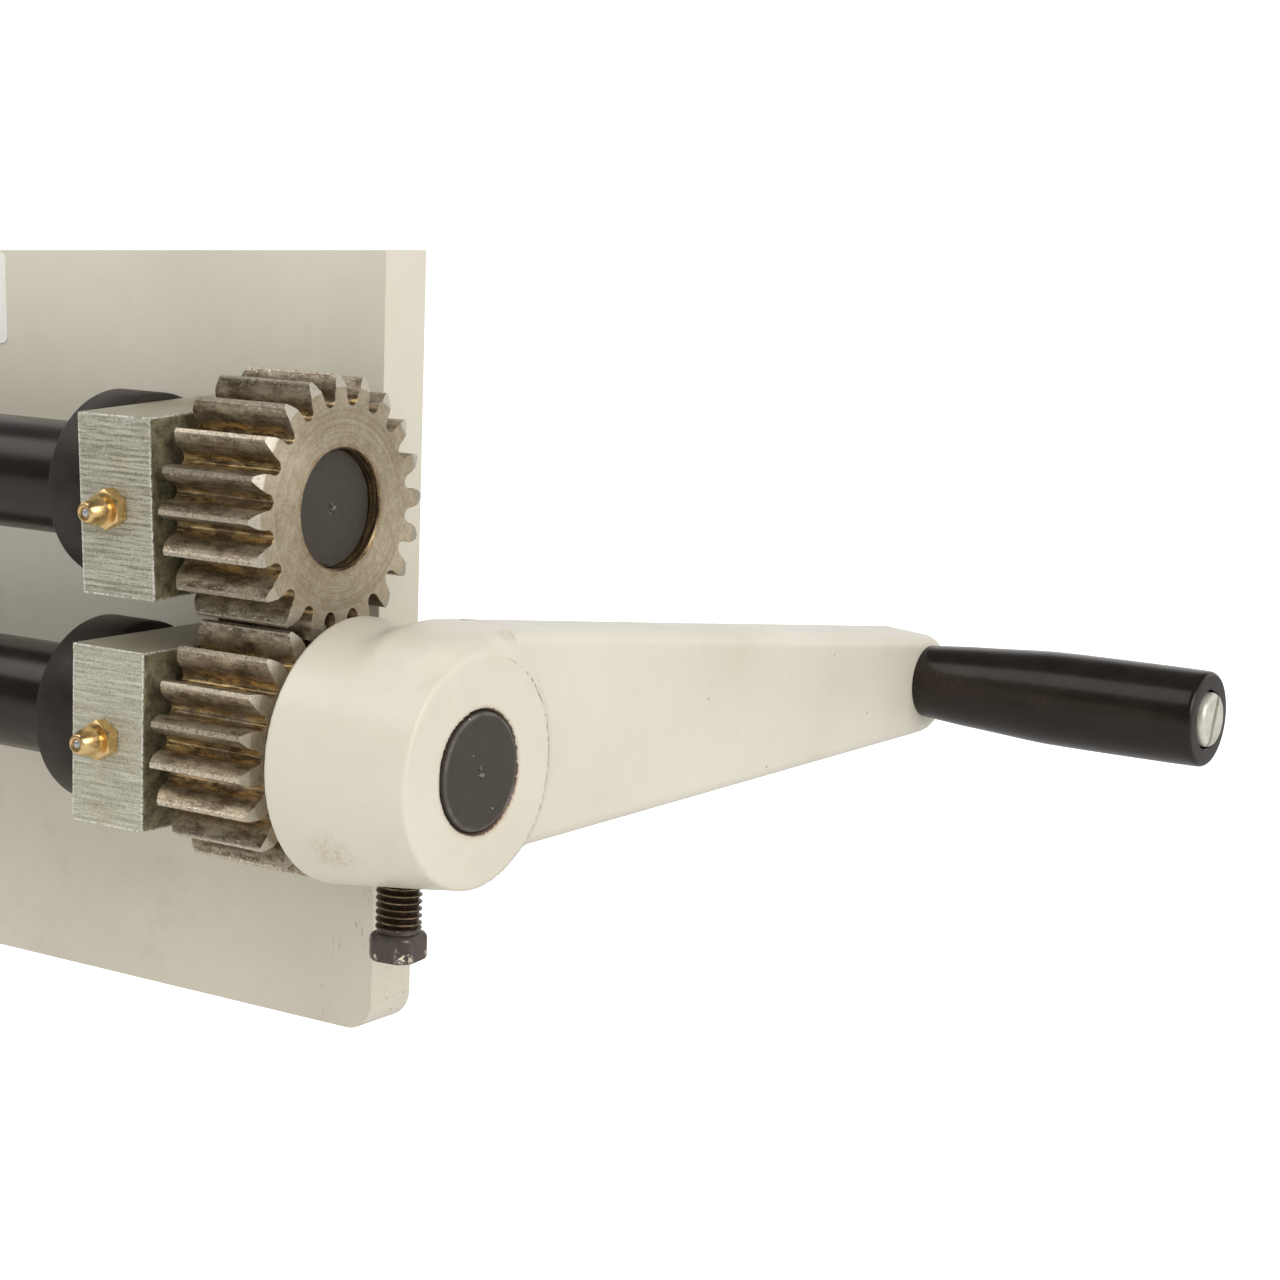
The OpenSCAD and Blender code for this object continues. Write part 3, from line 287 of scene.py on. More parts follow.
class Finish(Nodes):
    def __init__(self, name):
        self.material = bpy.data.materials.new(name)
        super().__init__(self.material, "ShaderNodeOutputMaterial")
        self.shader = self.node("ShaderNodeBsdfPrincipled")
        self.feed(self.out, self.shader.outputs[0])
        self.place = self.vector("SCALE", self.node("ShaderNodeTexCoord").outputs["Object"], scale=1 / MM)
        self.normal = None

    def vector(self, operation, a, b=(0, 0, 0), scale=1.0):
        node = self.node("ShaderNodeVectorMath", {0: a, 1: b, 3: scale}, operation=operation)
        return node.outputs[1 if operation in ("LENGTH", "DOT_PRODUCT", "DISTANCE") else 0]

    def stretched(self, x, y, z, offset=0):
        moved = self.vector("ADD", self.place, (offset, offset * 0.7, -offset * 0.4))
        return self.vector("MULTIPLY", moved, (x, y, z))

    def noise(self, size, detail, rough, where=None):
        return self.node("ShaderNodeTexNoise", {
            "Vector": where or self.place, "Scale": 1 / size, "Detail": detail, "Roughness": rough
        }).outputs["Fac"]

    def spots(self, low, high, *noise):
        """Noise as patches: 0 where it is below low, 1 above high."""
        return self.step(self.noise(*noise), low, high)

    def mix(self, share, a, b):
        return self.node("ShaderNodeMix", {0: share, 6: a, 7: b}, data_type="RGBA").outputs[2]

    def lay(self, color, tone, *shares):
        """Lays an 8-bit tone over a colour, by the product of some shares."""
        return self.mix(self.times(*shares), color, srgb(*tone))

    def specks(self, size, reach, amount, seed):
        """Round dots: cell size, dot radius as a share of it, and the share of cells that hold one."""
        where = self.vector("ADD", self.place, (seed * 13.7, seed * 5.1, seed * 9.3))
        cells = self.node("ShaderNodeTexVoronoi", {"Vector": where, "Scale": 1 / size})
        dot = self.step(cells.outputs["Distance"], reach, reach * 0.6)
        chance = self.node("ShaderNodeSeparateColor", {0: cells.outputs["Color"]}).outputs[0]
        return self.times(dot, self.math("LESS_THAN", chance, amount))

    def part(self, axis):
        return self.node("ShaderNodeSeparateXYZ", {0: self.place}).outputs["XYZ".index(axis)]

    def along(self, axis, start, low, high):
        """Smooth step along an axis, from low to high in millimetres past a place on it."""
        return self.step(self.part(axis), start / MM + low, start / MM + high)

    def facing(self, axis):
        normal = self.node("ShaderNodeTexCoord").outputs["Normal"]
        return self.node("ShaderNodeSeparateXYZ", {0: normal}).outputs["XYZ".index(axis)]

    def radius_about(self, centre, flat="x"):
        """Distance from the axis through a point, along X or Z."""
        away = self.vector("SUBTRACT", self.place, tuple(Vector(centre) / MM))
        keep = {"x": (0, 1, 1), "z": (1, 1, 0)}[flat]
        return self.vector("LENGTH", self.vector("MULTIPLY", away, keep))

    def near(self, point, inner, outer, wobble, size):
        """1 inside a ragged ball about a point, 0 outside it."""
        gap = self.vector("DISTANCE", self.place, tuple(Vector(point) / MM))
        gap = self.math("ADD", gap, self.times(self.noise(size, 5, 0.65), wobble))
        return self.step(gap, outer, inner)

    def band(self, value, centre, width):
        gap = self.math("ABSOLUTE", self.math("SUBTRACT", value, centre))
        return self.step(gap, width, width * 0.3)

    def edges(self, reach, low, high):
        """How far the surface bends within a reach, for worn edges."""
        bevel = self.node("ShaderNodeBevel", {"Radius": reach * MM}, samples=6).outputs[0]
        plain = self.node("ShaderNodeNewGeometry").outputs["Normal"]
        turn = self.vector("DOT_PRODUCT", bevel, plain)
        return self.step(self.rest(turn), low, high)

    def bump(self, height, depth, strength=0.6):
        values = {"Height": height, "Distance": depth * MM, "Strength": strength}
        if self.normal is not None:
            values["Normal"] = self.normal
        self.normal = self.node("ShaderNodeBump", values).outputs[0]

    def done(self, color, rough, metal=0.0, **more):
        self.feed(self.shader.inputs["Base Color"], color)
        self.feed(self.shader.inputs["Roughness"], rough)
        self.feed(self.shader.inputs["Metallic"], metal)
        for key, value in more.items():
            self.feed(self.shader.inputs[key.replace("_", " ")], value)
        if self.normal is not None:
            self.feed(self.shader.inputs["Normal"], self.normal)
        return self.material


def srgb(*tone):
    """Linear colour of an 8-bit display colour."""
    return tuple(((c / 255 + 0.055) / 1.055) ** 2.4 if c > 10 else c / 255 / 12.92 for c in tone)


ENAMEL = srgb(214, 208, 191)
ENAMEL_DULL = srgb(208, 201, 183)
RUST = srgb(128, 80, 42)


def enamel(name, specks, marks=None):
    """Cream paint: nearly even, with faint clouds, dark specks, chipped edges and an orange-peel skin."""
    f = Finish(name)
    color = f.mix(f.spots(0.35, 0.7, 60, 3, 0.5), ENAMEL, ENAMEL_DULL)
    color = f.lay(color, (184, 173, 146), f.remap(f.noise(6, 5, 0.65), 0.5, 0.85, 0.0, 0.14))
    color = f.lay(color, (92, 78, 58), f.specks(9, 0.04, specks, 1), 0.8)
    color = f.lay(color, (58, 48, 38), f.specks(17, 0.026, specks * 2.0, 4), 0.8)
    wear = f.times(f.edges(0.7, 0.03, 0.25), f.spots(0.62, 0.7, 4, 6, 0.75))
    color = f.lay(color, (120, 92, 62), wear, 0.75)
    if marks:
        color = marks(f, color)
    f.bump(f.noise(2.6, 2, 0.5), 0.02)
    f.bump(f.noise(16, 2, 0.5), 0.10)
    rough = f.remap(f.noise(11, 4, 0.6), 0.3, 0.75, 0.3, 0.44)
    return f.done(color, rough, Coat_Weight=0.15, Coat_Roughness=0.22, IOR=1.5)


def crank_marks(f, color):
    """Brown smudge low on the hub, a rusty ring round the shaft end, a cracked line round the boss."""
    smudge = Vector((HUB_BACK_X + 0.0125, LOW_AXIS.y - 0.0215, LOW_AXIS.z - 0.0172))
    stain = f.times(f.near(smudge, 2, 10, 4, 2.4), f.spots(0.42, 0.62, 1.2, 6, 0.75))
    color = f.lay(color, (176, 152, 112), stain, 0.7)
    radius = f.radius_about(LOW_AXIS)
    front = f.along("X", HUB_FRONT_X, -3, -1.8)
    low = f.along("Z", LOW_AXIS.z, 5, -9)
    low = f.times(low, f.along("Y", LOW_AXIS.y, -6, 6))
    ragged = f.math("SUBTRACT", radius, f.times(low, 0.3))
    ragged = f.math("ADD", ragged, f.times(f.noise(0.9, 6, 0.8), 1.3))
    halo = f.times(f.step(ragged, 14.7, 13.6), front)
    color = f.lay(color, (170, 122, 78), halo, f.remap(low, 0.0, 1.0, 0.3, 0.7))
    ring = f.times(f.step(ragged, 13.85, 13.6), front)
    color = f.lay(color, (58, 40, 27), ring, 0.92)
    boss = f.math("ADD", radius, f.times(f.noise(2.2, 4, 0.7), 0.8))
    crack = f.times(f.band(boss, 24.4, 0.3), f.spots(0.46, 0.53, 1.6, 5, 0.75))
    right = f.along("Y", LOW_AXIS.y, 6, 16)
    crack = f.times(crack, front, right)
    color = f.lay(color, (104, 84, 62), crack, 0.75)
    flecks = f.times(f.specks(1.4, 0.15, 0.35, 7), f.times(f.band(radius, 22.8, 3.6), front))
    color = f.lay(color, (112, 90, 64), flecks, right, 0.75)
    under = f.step(f.facing("Z"), -0.3, -0.75)
    outer = f.along("Y", LOW_AXIS.y, 30, 50)
    chips = f.times(under, f.specks(2.6, 0.2, 0.22, 3), outer)
    return f.lay(color, (96, 76, 56), chips, 0.8)


def plate_marks(f, color):
    """The plate darker towards its bottom, with faint blotchy grime there, and small rust chips on its
    crank-end edge.
    """
    low = f.along("Z", PLATE_LOW.z, 90, 20)
    # Darker towards the bottom of the plate
    color = f.lay(color, (186, 176, 152), low, 0.22)
    grime = f.times(low, f.spots(0.5, 0.8, 14, 6, 0.7))
    color = f.lay(color, (166, 156, 128), grime, 0.25)
    edge = f.along("X", PLATE_HIGH.x, -2.2, -0.6)
    chips = f.times(edge, f.specks(3.2, 0.12, 0.12, 2))
    color = f.mix(f.times(chips, 0.8), color, RUST)
    nearby = f.along("X", PLATE_HIGH.x, -26, -3)
    nearby = f.times(nearby, f.along("Z", PLATE_LOW.z, 78, 52))
    scratch = f.spots(0.6, 0.64, 0.8, 5, 0.8, f.stretched(1, 1, 0.22))
    scratch = f.times(scratch, nearby, f.spots(0.42, 0.6, 5, 4, 0.6))
    color = f.lay(color, (112, 100, 78), scratch, 0.7)
    corner = f.times(f.edges(0.6, 0.02, 0.2), f.spots(0.5, 0.58, 1.6, 6, 0.8))
    corner = f.times(corner, f.along("Z", PLATE_LOW.z, 48, 30))
    return f.lay(color, (120, 106, 84), corner, 0.6)


WARM_GLOSS = (1.0, 0.9, 0.8, 1.0)


def black_oxide(name, wear=0.35):
    """Warm brown-black oxide: mottled, with worn bright specks on its edges and pin pricks all over."""
    f = Finish(name)
    color = f.mix(f.spots(0.35, 0.7, 7, 5, 0.65), srgb(34, 27, 22), srgb(46, 38, 32))
    chip = f.times(f.edges(0.35, 0.03, 0.2), f.spots(0.56, 0.6, 1.3, 5, 0.7))
    color = f.lay(color, (196, 188, 176), chip, wear)
    color = f.lay(color, (170, 158, 140), f.specks(3.0, 0.05, 0.12, 3), 0.6)
    f.bump(f.noise(0.9, 4, 0.6), 0.012)
    rough = f.remap(f.noise(3.5, 5, 0.65), 0.3, 0.75, 0.42, 0.58)
    return f.done(color, rough, 0.12, Specular_Tint=WARM_GLOSS)


def set_screw_finish(name, low_z):
    """Brown-black screw: oily thread with light crest lines of wear and painted highlight, and a head chipped
    bright on its corners.
    """
    f = Finish(name)
    z = f.part("Z")
    radius = f.radius_about(middle("crank_set_screw"), "z")
    head = f.step(z, low_z / MM + 7.4, low_z / MM + 7.0)
    color = f.mix(head, srgb(40, 29, 17), srgb(78, 70, 64))
    # Light lines on the thread crests: partly wear, partly painted highlight
    crest_wear_and_highlight = f.times(f.step(radius, 4.74, 4.82), f.rest(head))
    color = f.lay(color, (146, 126, 98), crest_wear_and_highlight, f.remap(f.noise(2.0, 4, 0.7), 0.35, 0.65, 0.1, 1.0))
    cloud = f.times(head, f.spots(0.4, 0.7, 2.6, 4, 0.6))
    color = f.lay(color, (56, 51, 50), cloud, 0.6)
    corner = f.times(f.step(radius, 5.3, 5.75), head)
    low = f.step(z, low_z / MM + 3.4, low_z / MM + 1.2)
    chance = f.math("ADD", f.noise(1.2, 6, 0.8), f.times(low, 0.1))
    chip = f.times(corner, f.step(chance, 0.6, 0.65))
    worn = f.times(f.edges(0.7, 0.02, 0.15), f.spots(0.58, 0.62, 1.1, 6, 0.8))
    bright = f.math("MAXIMUM", chip, f.times(worn, head))
    color = f.lay(color, (232, 220, 198), bright, 0.95)
    f.bump(f.noise(0.8, 5, 0.7), 0.03)
    return f.done(color, f.remap(f.noise(1.6, 4, 0.6), 0.3, 0.7, 0.24, 0.4), 0.25, Specular_Tint=WARM_GLOSS)


def shaft_finish(name, axis, end_x):
    """Blackened bar: fine turning marks round it, and a slate grey end with faint rings and a lighter rim."""
    f = Finish(name)
    rings = f.noise(0.5, 3, 0.6, f.stretched(1, 0.02, 0.02))
    streak = f.noise(5, 4, 0.6, f.stretched(0.08, 1, 1))
    color = f.mix(f.step(streak, 0.35, 0.7), srgb(24, 20, 18), srgb(36, 31, 28))
    end = f.along("X", end_x, -1.3, -0.9)
    grey = f.mix(f.noise(3, 5, 0.65), srgb(49, 45, 38), srgb(62, 58, 50))
    turned_end = f.radius_about(axis)
    fine = f.noise(0.5, 2, 0.6, f.node("ShaderNodeCombineXYZ", {0: turned_end, 1: 0.0, 2: 0.0}).outputs[0])
    grey = f.lay(grey, (84, 80, 70), f.step(fine, 0.5, 0.75), 0.25)
    rim = f.times(f.band(turned_end, 11.9, 0.5), f.remap(f.noise(3, 4, 0.6), 0.35, 0.65, 0.1, 0.7))
    grey = f.lay(grey, (112, 106, 96), rim)
    color = f.mix(end, color, grey)
    nick = f.times(f.specks(2.6, 0.085, 0.14, 6), end)
    color = f.lay(color, (214, 207, 194), nick, 0.9)
    centre = f.times(f.band(turned_end, 1.0, 0.5), end)
    color = f.lay(color, (124, 117, 104), centre, f.spots(0.5, 0.62, 0.9, 3, 0.6))
    dots = f.specks(6, 0.022, 0.25, 2)
    color = f.lay(color, (150, 142, 132), dots, 0.5)
    f.bump(rings, 0.010, 0.5)
    rough = f.math("ADD", f.remap(streak, 0.3, 0.75, 0.2, 0.32), f.times(end, 0.26))
    return f.done(color, rough, 0.08, Specular_Tint=WARM_GLOSS)


def gear_finish(name, axis, tip, root, painted_light):
    """Turned end faces, bright tip chamfers, mottled flanks with glinting crests, oil and rust in roots; the
    last argument scales the whole colour as painted light.
    """
    f = Finish(name)
    radius = f.radius_about(axis)
    slope = f.math("ABSOLUTE", f.facing("X"))
    face = f.step(slope, 0.955, 0.985)
    not_face = f.rest(face)
    chamfer = f.times(f.step(slope, 0.6, 0.8), not_face)
    chamfer = f.times(chamfer, f.step(radius, tip - 3.2, tip - 2.7))
    bore = f.step(radius, 12.9, 12.7)
    drawn = f.noise(0.5, 4, 0.7, f.stretched(0.06, 1, 1))
    pits = f.noise(0.8, 6, 0.85)
    grain = f.noise(0.4, 5, 0.85, f.stretched(0.5, 1, 1))
    clouds = f.noise(3.6, 6, 0.75, f.stretched(0.45, 1, 1))
    flank = f.mix(f.step(clouds, 0.36, 0.64), srgb(176, 162, 138), srgb(98, 84, 64))
    flank = f.lay(flank, (78, 64, 46), f.step(drawn, 0.5, 0.66), 0.4)
    flank = f.lay(flank, (60, 47, 32), f.step(pits, 0.54, 0.64), 0.8)
    tips = f.step(radius, tip - 0.45, tip - 0.1)
    flank = f.lay(flank, (196, 184, 162), tips, 0.75)
    flank = f.lay(flank, (92, 78, 58), tips, f.step(pits, 0.53, 0.59), 0.8)
    glint = f.times(f.step(grain, 0.56, 0.61), f.step(radius, tip - 1.9, tip - 0.3))
    flank = f.lay(flank, (246, 240, 226), glint, 0.9)
    deep = f.step(radius, root + 3.0, root + 0.5)
    oil = f.times(deep, f.spots(0.25, 0.5, 6, 4, 0.6, f.stretched(0.5, 1, 1)))
    runs = f.spots(0.44, 0.6, 1.8, 5, 0.75, f.stretched(0.3, 1, 1))
    amber = f.mix(runs, srgb(92, 70, 40), srgb(196, 164, 106))
    flank = f.mix(f.times(oil, 0.8), flank, amber)
    rust = f.times(f.spots(0.58, 0.68, 3.4, 6, 0.75), f.rest(tips))
    flank = f.lay(flank, (132, 82, 34), rust, 0.6)
    round_it = f.node("ShaderNodeCombineXYZ", {0: radius, 1: 0.0, 2: 0.0}).outputs[0]
    wander = f.vector("MULTIPLY", f.place, (0.0, 0.006, 0.006))
    rings = f.noise(0.3, 3, 0.7, f.vector("ADD", round_it, wander))
    coarse = f.noise(1.1, 3, 0.7, round_it)
    patch = f.remap(f.noise(7, 4, 0.6), 0.35, 0.6, 0.25, 1.0)
    inner = f.step(radius, 22.5, 20.0)
    turned_marks = f.step(f.math("ADD", f.times(rings, 0.6), f.times(coarse, 0.4)), 0.42, 0.6)
    turned_marks = f.times(turned_marks, patch)
    bright = f.mix(f.times(turned_marks, f.remap(inner, 0.0, 1.0, 0.2, 0.6)), srgb(182, 170, 148),
                   srgb(122, 108, 85))
    bright = f.lay(bright, (138, 122, 94), f.remap(f.noise(2.2, 6, 0.85), 0.42, 0.64, 0.0, 0.7))
    bright = f.lay(bright, (212, 202, 182), f.step(grain, 0.54, 0.62), 0.35)
    brown = f.times(f.spots(0.56, 0.64, 0.8, 6, 0.85), f.spots(0.38, 0.58, 7, 4, 0.6))
    bright = f.lay(bright, (108, 86, 56), brown, 0.6)
    bright = f.lay(bright, (92, 68, 42), f.specks(1.9, 0.15, 0.2, 5), 0.6)
    rim = f.times(f.step(radius, 14.6, 12.7), f.spots(0.36, 0.58, 1.6, 5, 0.7))
    bright = f.lay(bright, (120, 88, 52), rim, 0.7)
    color = f.mix(face, flank, bright)
    clean = f.mix(f.step(pits, 0.54, 0.64), srgb(182, 174, 158), srgb(136, 122, 100))
    color = f.mix(chamfer, color, clean)
    # Painted shade on the bore mouth where the shaft enters: dark brown, with lighter streaks along the bore
    grooves = f.noise(0.5, 5, 0.75, f.stretched(1, 0.06, 0.06))
    bore_shade = f.mix(f.step(grooves, 0.4, 0.66), srgb(60, 45, 30), srgb(150, 128, 94))
    # The whole colour is scaled by a factor of painted light, so each gear gets its own lighter or darker
    # copy of the same steel
    color = f.vector("MULTIPLY", f.mix(bore, color, bore_shade), (painted_light, painted_light, painted_light))
    f.bump(f.times(f.math("ADD", rings, coarse), f.times(face, inner)), 0.03)
    f.bump(f.times(drawn, not_face), 0.04, 0.7)
    f.bump(pits, 0.03, 0.7)
    rough = f.mix(face, f.remap(pits, 0.3, 0.75, 0.26, 0.52), (0.56, 0.56, 0.56))
    rough = f.math("SUBTRACT", rough, f.times(chamfer, 0.14))
    wet = f.times(oil, not_face)
    rough = f.math("SUBTRACT", rough, f.times(wet, 0.16))
    tangent = f.node("ShaderNodeTangent", direction_type="RADIAL", axis="X")
    return f.done(color, rough, 0.7, Anisotropic=0.7, Anisotropic_Rotation=0.25, Tangent=tangent.outputs[0])


def block_finish(name, painted_light, contrast, stain=None):
    """Zinc over saw marks: even broken lines across the front, dull grain, painted highlight beads on the
    edges, an olive side of oil and painted shade, and tones scaled as painted light.
    """
    f = Finish(name)
    wave = f.times(f.noise(9, 3, 0.5, f.stretched(0.15, 0.15, 1)), 5.0)
    saw = f.math("SINE", f.math("ADD", f.times(f.part("Z"), 2 * math.pi / 1.3), wave))
    broken = f.noise(1.1, 6, 0.8, f.stretched(0.09, 0.12, 1))
    lines = f.step(f.math("ADD", f.times(saw, 0.07), broken), 0.5, 0.6)
    grain = f.noise(0.5, 6, 0.85)
    fine = f.noise(0.4, 4, 0.7, f.stretched(0.04, 0.04, 1))
    # Every tone is scaled by a factor of painted light, for a lighter or darker copy of the same zinc
    tones = [tuple(t * painted_light for t in tone) for tone in ((164, 160, 142), (190, 187, 168), (214, 211, 194))]
    dark = tuple(t * painted_light for t in (106, 100, 80))
    color = f.mix(f.step(grain, 0.4, 0.56), srgb(*(t * 0.92 for t in tones[0])), srgb(*tones[1]))
    color = f.lay(color, tones[2], f.step(fine, 0.46, 0.64), 0.55)
    color = f.lay(color, dark, f.step(fine, 0.46, 0.34), 0.45 * contrast)
    color = f.lay(color, dark, lines, 0.55 * contrast)
    tint = f.spots(0.46, 0.72, 8, 4, 0.6)
    color = f.lay(color, (172, 164, 116), tint, 0.3)
    pits = f.spots(0.57, 0.63, 0.6, 6, 0.85)
    color = f.lay(color, (84, 76, 58), pits, 0.7)
    # Painted glints: small near-white flecks standing for the sparkle of the zinc
    painted_sparkle = f.spots(0.57, 0.64, 0.45, 5, 0.85, f.stretched(1, 1, 1, 40))
    color = f.lay(color, (244, 242, 230), painted_sparkle, 0.65)
    if stain:
        spot = f.times(f.near(stain, 1, 8, 5, 2.6), f.spots(0.4, 0.62, 1.4, 6, 0.75))
        color = f.lay(color, (176, 146, 88), spot, 0.55)
    # Oil and painted shade: the side faces are mixed almost all the way to a blotchy dark olive
    side = f.step(f.math("ABSOLUTE", f.facing("X")), 0.5, 0.9)
    oil_and_painted_shade = f.mix(f.spots(0.35, 0.65, 3.2, 6, 0.75), srgb(80, 73, 49), srgb(150, 141, 108))
    color = f.mix(f.times(side, 0.92), color, oil_and_painted_shade)
    top = f.step(f.facing("Z"), 0.5, 0.9)
    color = f.lay(color, (154, 145, 121), top, 0.75)
    # Painted highlight: broken near-white beads along the rounded edges stand for edges catching the light;
    # the other parts of the edges are laid darker
    edge = f.edges(0.9, 0.01, 0.07)
    painted_edge_highlight = f.spots(0.43, 0.52, 0.6, 5, 0.8)
    color = f.lay(color, (250, 247, 238), edge, painted_edge_highlight)
    dull = f.times(edge, f.rest(painted_edge_highlight))
    color = f.lay(color, (124, 115, 90), dull, 0.5)
    f.bump(lines, -0.05, 0.7)
    f.bump(fine, 0.03)
    f.bump(f.noise(0.6, 3, 0.6), 0.02, 0.4)
    rough = f.remap(f.noise(2.5, 4, 0.6), 0.3, 0.7, 0.36, 0.5)
    return f.done(color, rough, 0.35)


def zinc(name, tone=(186, 188, 182), metal=0.8):
    f = Finish(name)
    color = f.mix(f.spots(0.35, 0.7, 4, 5, 0.65), srgb(*tone), srgb(*(t - 26 for t in tone)))
    color = f.lay(color, (120, 108, 84), f.specks(2.0, 0.14, 0.14, 8), 0.5)
    f.bump(f.noise(0.7, 4, 0.65), 0.02)
    return f.done(color, f.remap(f.noise(1.8, 4, 0.6), 0.3, 0.7, 0.26, 0.42), metal)


def brass(name, tone=(246, 210, 148)):
    f = Finish(name)
    color = f.mix(f.spots(0.4, 0.75, 2.2, 4, 0.6), srgb(*tone), srgb(*(t * 0.84 for t in tone)))
    f.bump(f.noise(0.35, 3, 0.6), 0.008, 0.5)
    return f.done(color, f.remap(f.noise(1.1, 4, 0.6), 0.3, 0.7, 0.2, 0.34), 1.0)


def bakelite(name):
    """Glossy brown-black plastic with faint long waves and a few pin pricks."""
    f = Finish(name)
    color = f.mix(f.spots(0.35, 0.7, 9, 4, 0.6), srgb(26, 20, 17), srgb(33, 27, 23))
    color = f.lay(color, (120, 108, 96), f.specks(5, 0.022, 0.3, 9), 0.5)
    f.bump(f.noise(7, 2, 0.5), 0.02, 0.5)
    f.bump(f.noise(0.9, 3, 0.6), 0.002)
    gloss = f.remap(f.noise(4, 5, 0.65), 0.3, 0.75, 0.19, 0.28)
    return f.done(color, gloss, IOR=1.42, Specular_Tint=WARM_GLOSS)


def roll_steel(name):
    f = Finish(name)
    fine = f.noise(0.4, 3, 0.6, f.stretched(1, 0.1, 0.1))
    color = f.mix(f.spots(0.35, 0.7, 3, 5, 0.65), srgb(160, 158, 154), srgb(124, 120, 114))
    f.bump(fine, 0.015, 0.5)
    return f.done(color, f.remap(f.noise(2, 4, 0.6), 0.3, 0.7, 0.26, 0.4), 0.9)


# Gears
GEAR_TEETH = 20
GEAR_MODULE = 2.5 * MM
GEAR_PHASE = math.radians(1.6)
GEAR_PRESSURE = math.radians(20)
GEAR_BACKLASH = 0.36 * MM
TIP_SHARE = 1.14
ROOT_SHARE = 1.4
TIP_CHAMFER = 1.0 * MM
TIP_CHAMFER_IN = 2.5 * MM
BORE_EDGE = 0.4 * MM
EDGE_BREAK = 0.12 * MM
RIM_SHARE = 0.8
GEAR_SHARP = math.radians(14)


def gear_outline(turn, limit):
    """Tooth outline as (angle, radius), cut off at a radius, a gap's round bottom first, for every tooth."""
    pitch_r = GEAR_MODULE * GEAR_TEETH / 2
    base_r = pitch_r * math.cos(GEAR_PRESSURE)
    root_r = pitch_r - ROOT_SHARE * GEAR_MODULE
    width = math.pi * GEAR_MODULE / 2 - GEAR_BACKLASH

    def involute(r):
        a = math.acos(min(1, base_r / r))
        return math.tan(a) - a

    def half(r):
        return width / 2 / pitch_r + involute(pitch_r) - involute(r)

    step = 2 * math.pi / GEAR_TEETH
    gap = step / 2 - half(base_r)
    bottom = [(-step / 2 + gap * math.sin(t), base_r - (base_r - root_r) * math.cos(t))
              for t in (math.pi / 2 * i / 8 for i in range(8))]
    flank = [(-half(r), r) for r in (base_r + (limit - base_r) * i / 6 for i in range(7))]
    crown = [(half(limit) * t, limit) for t in (-0.4, 0.4)]
    one = bottom + flank + crown
    mirror = [(-a, r) for a, r in reversed(bottom[1:] + flank)]
    return [(turn + k * step + a, r) for k in range(GEAR_TEETH) for a, r in one + mirror]


def inset(points, depth):
    """Outline of (y, z) points moved inwards."""
    out = []
    count = len(points)
    for i, here in enumerate(points):
        a, b = Vector(points[i - 1]), Vector(points[(i + 1) % count])
        way = (b - a).normalized()
        out.append((here[0] - way.y * depth, here[1] + way.x * depth))
    return out


def make_gear(node, axis, turn, painted_light):
    """Gear with its tooth ends turned off to a cone at both faces."""
    low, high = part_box(node)
    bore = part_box("upper_shaft")[1].z - UP_AXIS.z
    tip = GEAR_MODULE * (GEAR_TEETH / 2 + TIP_SHARE)
    limit = tip - TIP_CHAMFER_IN

    def ring(x, points):
        return [(x, y, z) for y, z in points]

    def flat(pairs):
        return [(r * math.cos(a), r * math.sin(a)) for a, r in pairs]

    outline = gear_outline(turn, limit)
    face = inset(flat(outline), EDGE_BREAK)
    bore_ring = flat([(a, bore) for a, _ in outline])
    mouth = flat([(a, bore + BORE_EDGE) for a, _ in outline])
    rim = flat([(a, GEAR_MODULE * GEAR_TEETH / 2 * RIM_SHARE) for a, _ in outline])
    shares = (EDGE_BREAK / TIP_CHAMFER, 0.35, 0.6, 0.8, 1)
    cone = [(TIP_CHAMFER * t, flat(gear_outline(turn, limit + TIP_CHAMFER_IN * t))) for t in shares]
    side = [(BORE_EDGE, bore_ring), (0, mouth), (0, rim), (0, face)] + cone
    rings = [ring(low.x + depth, points) for depth, points in side]
    rings += [ring(high.x - depth, points) for depth, points in reversed(side)]
    bm = bmesh.new()
    loft_into(bm, rings, on_axis(axis), closed=True)
    root = tip - (TIP_SHARE + ROOT_SHARE) * GEAR_MODULE
    finish = gear_finish(node + "_finish", axis, tip / MM, root / MM, painted_light)
    dress(to_object(bm, node + "_shape", GEAR_SHARP), node, finish)


# Crank casting, as a field of distances that a dense mesh is drawn onto
FRONT_BLEND = 3.0 * MM
BACK_BLEND = 8.0 * MM
BLEND_DEPTH = 5.0 * MM
HUB_R = 28.1 * MM
HUB_FRONT_R = 24.5 * MM
HUB_ROUND = 0.65 * MM
ARM_THICK = 16.0 * MM
ARM_PROUD = 1.0 * MM
ARM_ROUND = 3.0 * MM
ARM_BACK_ROUND = 1.5 * MM
ARM_BOTTOM = 20.1 * MM
ARM_END_R = 13.9 * MM
ARM_END_DROP = 1.0 * MM
ARM_OUTLINE_R = 5 * MM
ARM_DRAFT = 0.05
ARM_DRAFT_MORE = 0.03
BORE_LIP = 0.5 * MM
BORE_PLAY = 0.05 * MM
VOXEL = 0.75 * MM
DRAFT_SHARE = 0.95
PULLS = 7
NUDGE = 0.02 * MM
ARM_START = [(16.0 * MM, 27.75 * MM), (5.0 * MM, 27.8 * MM), (-6.0 * MM, 26.1 * MM)]


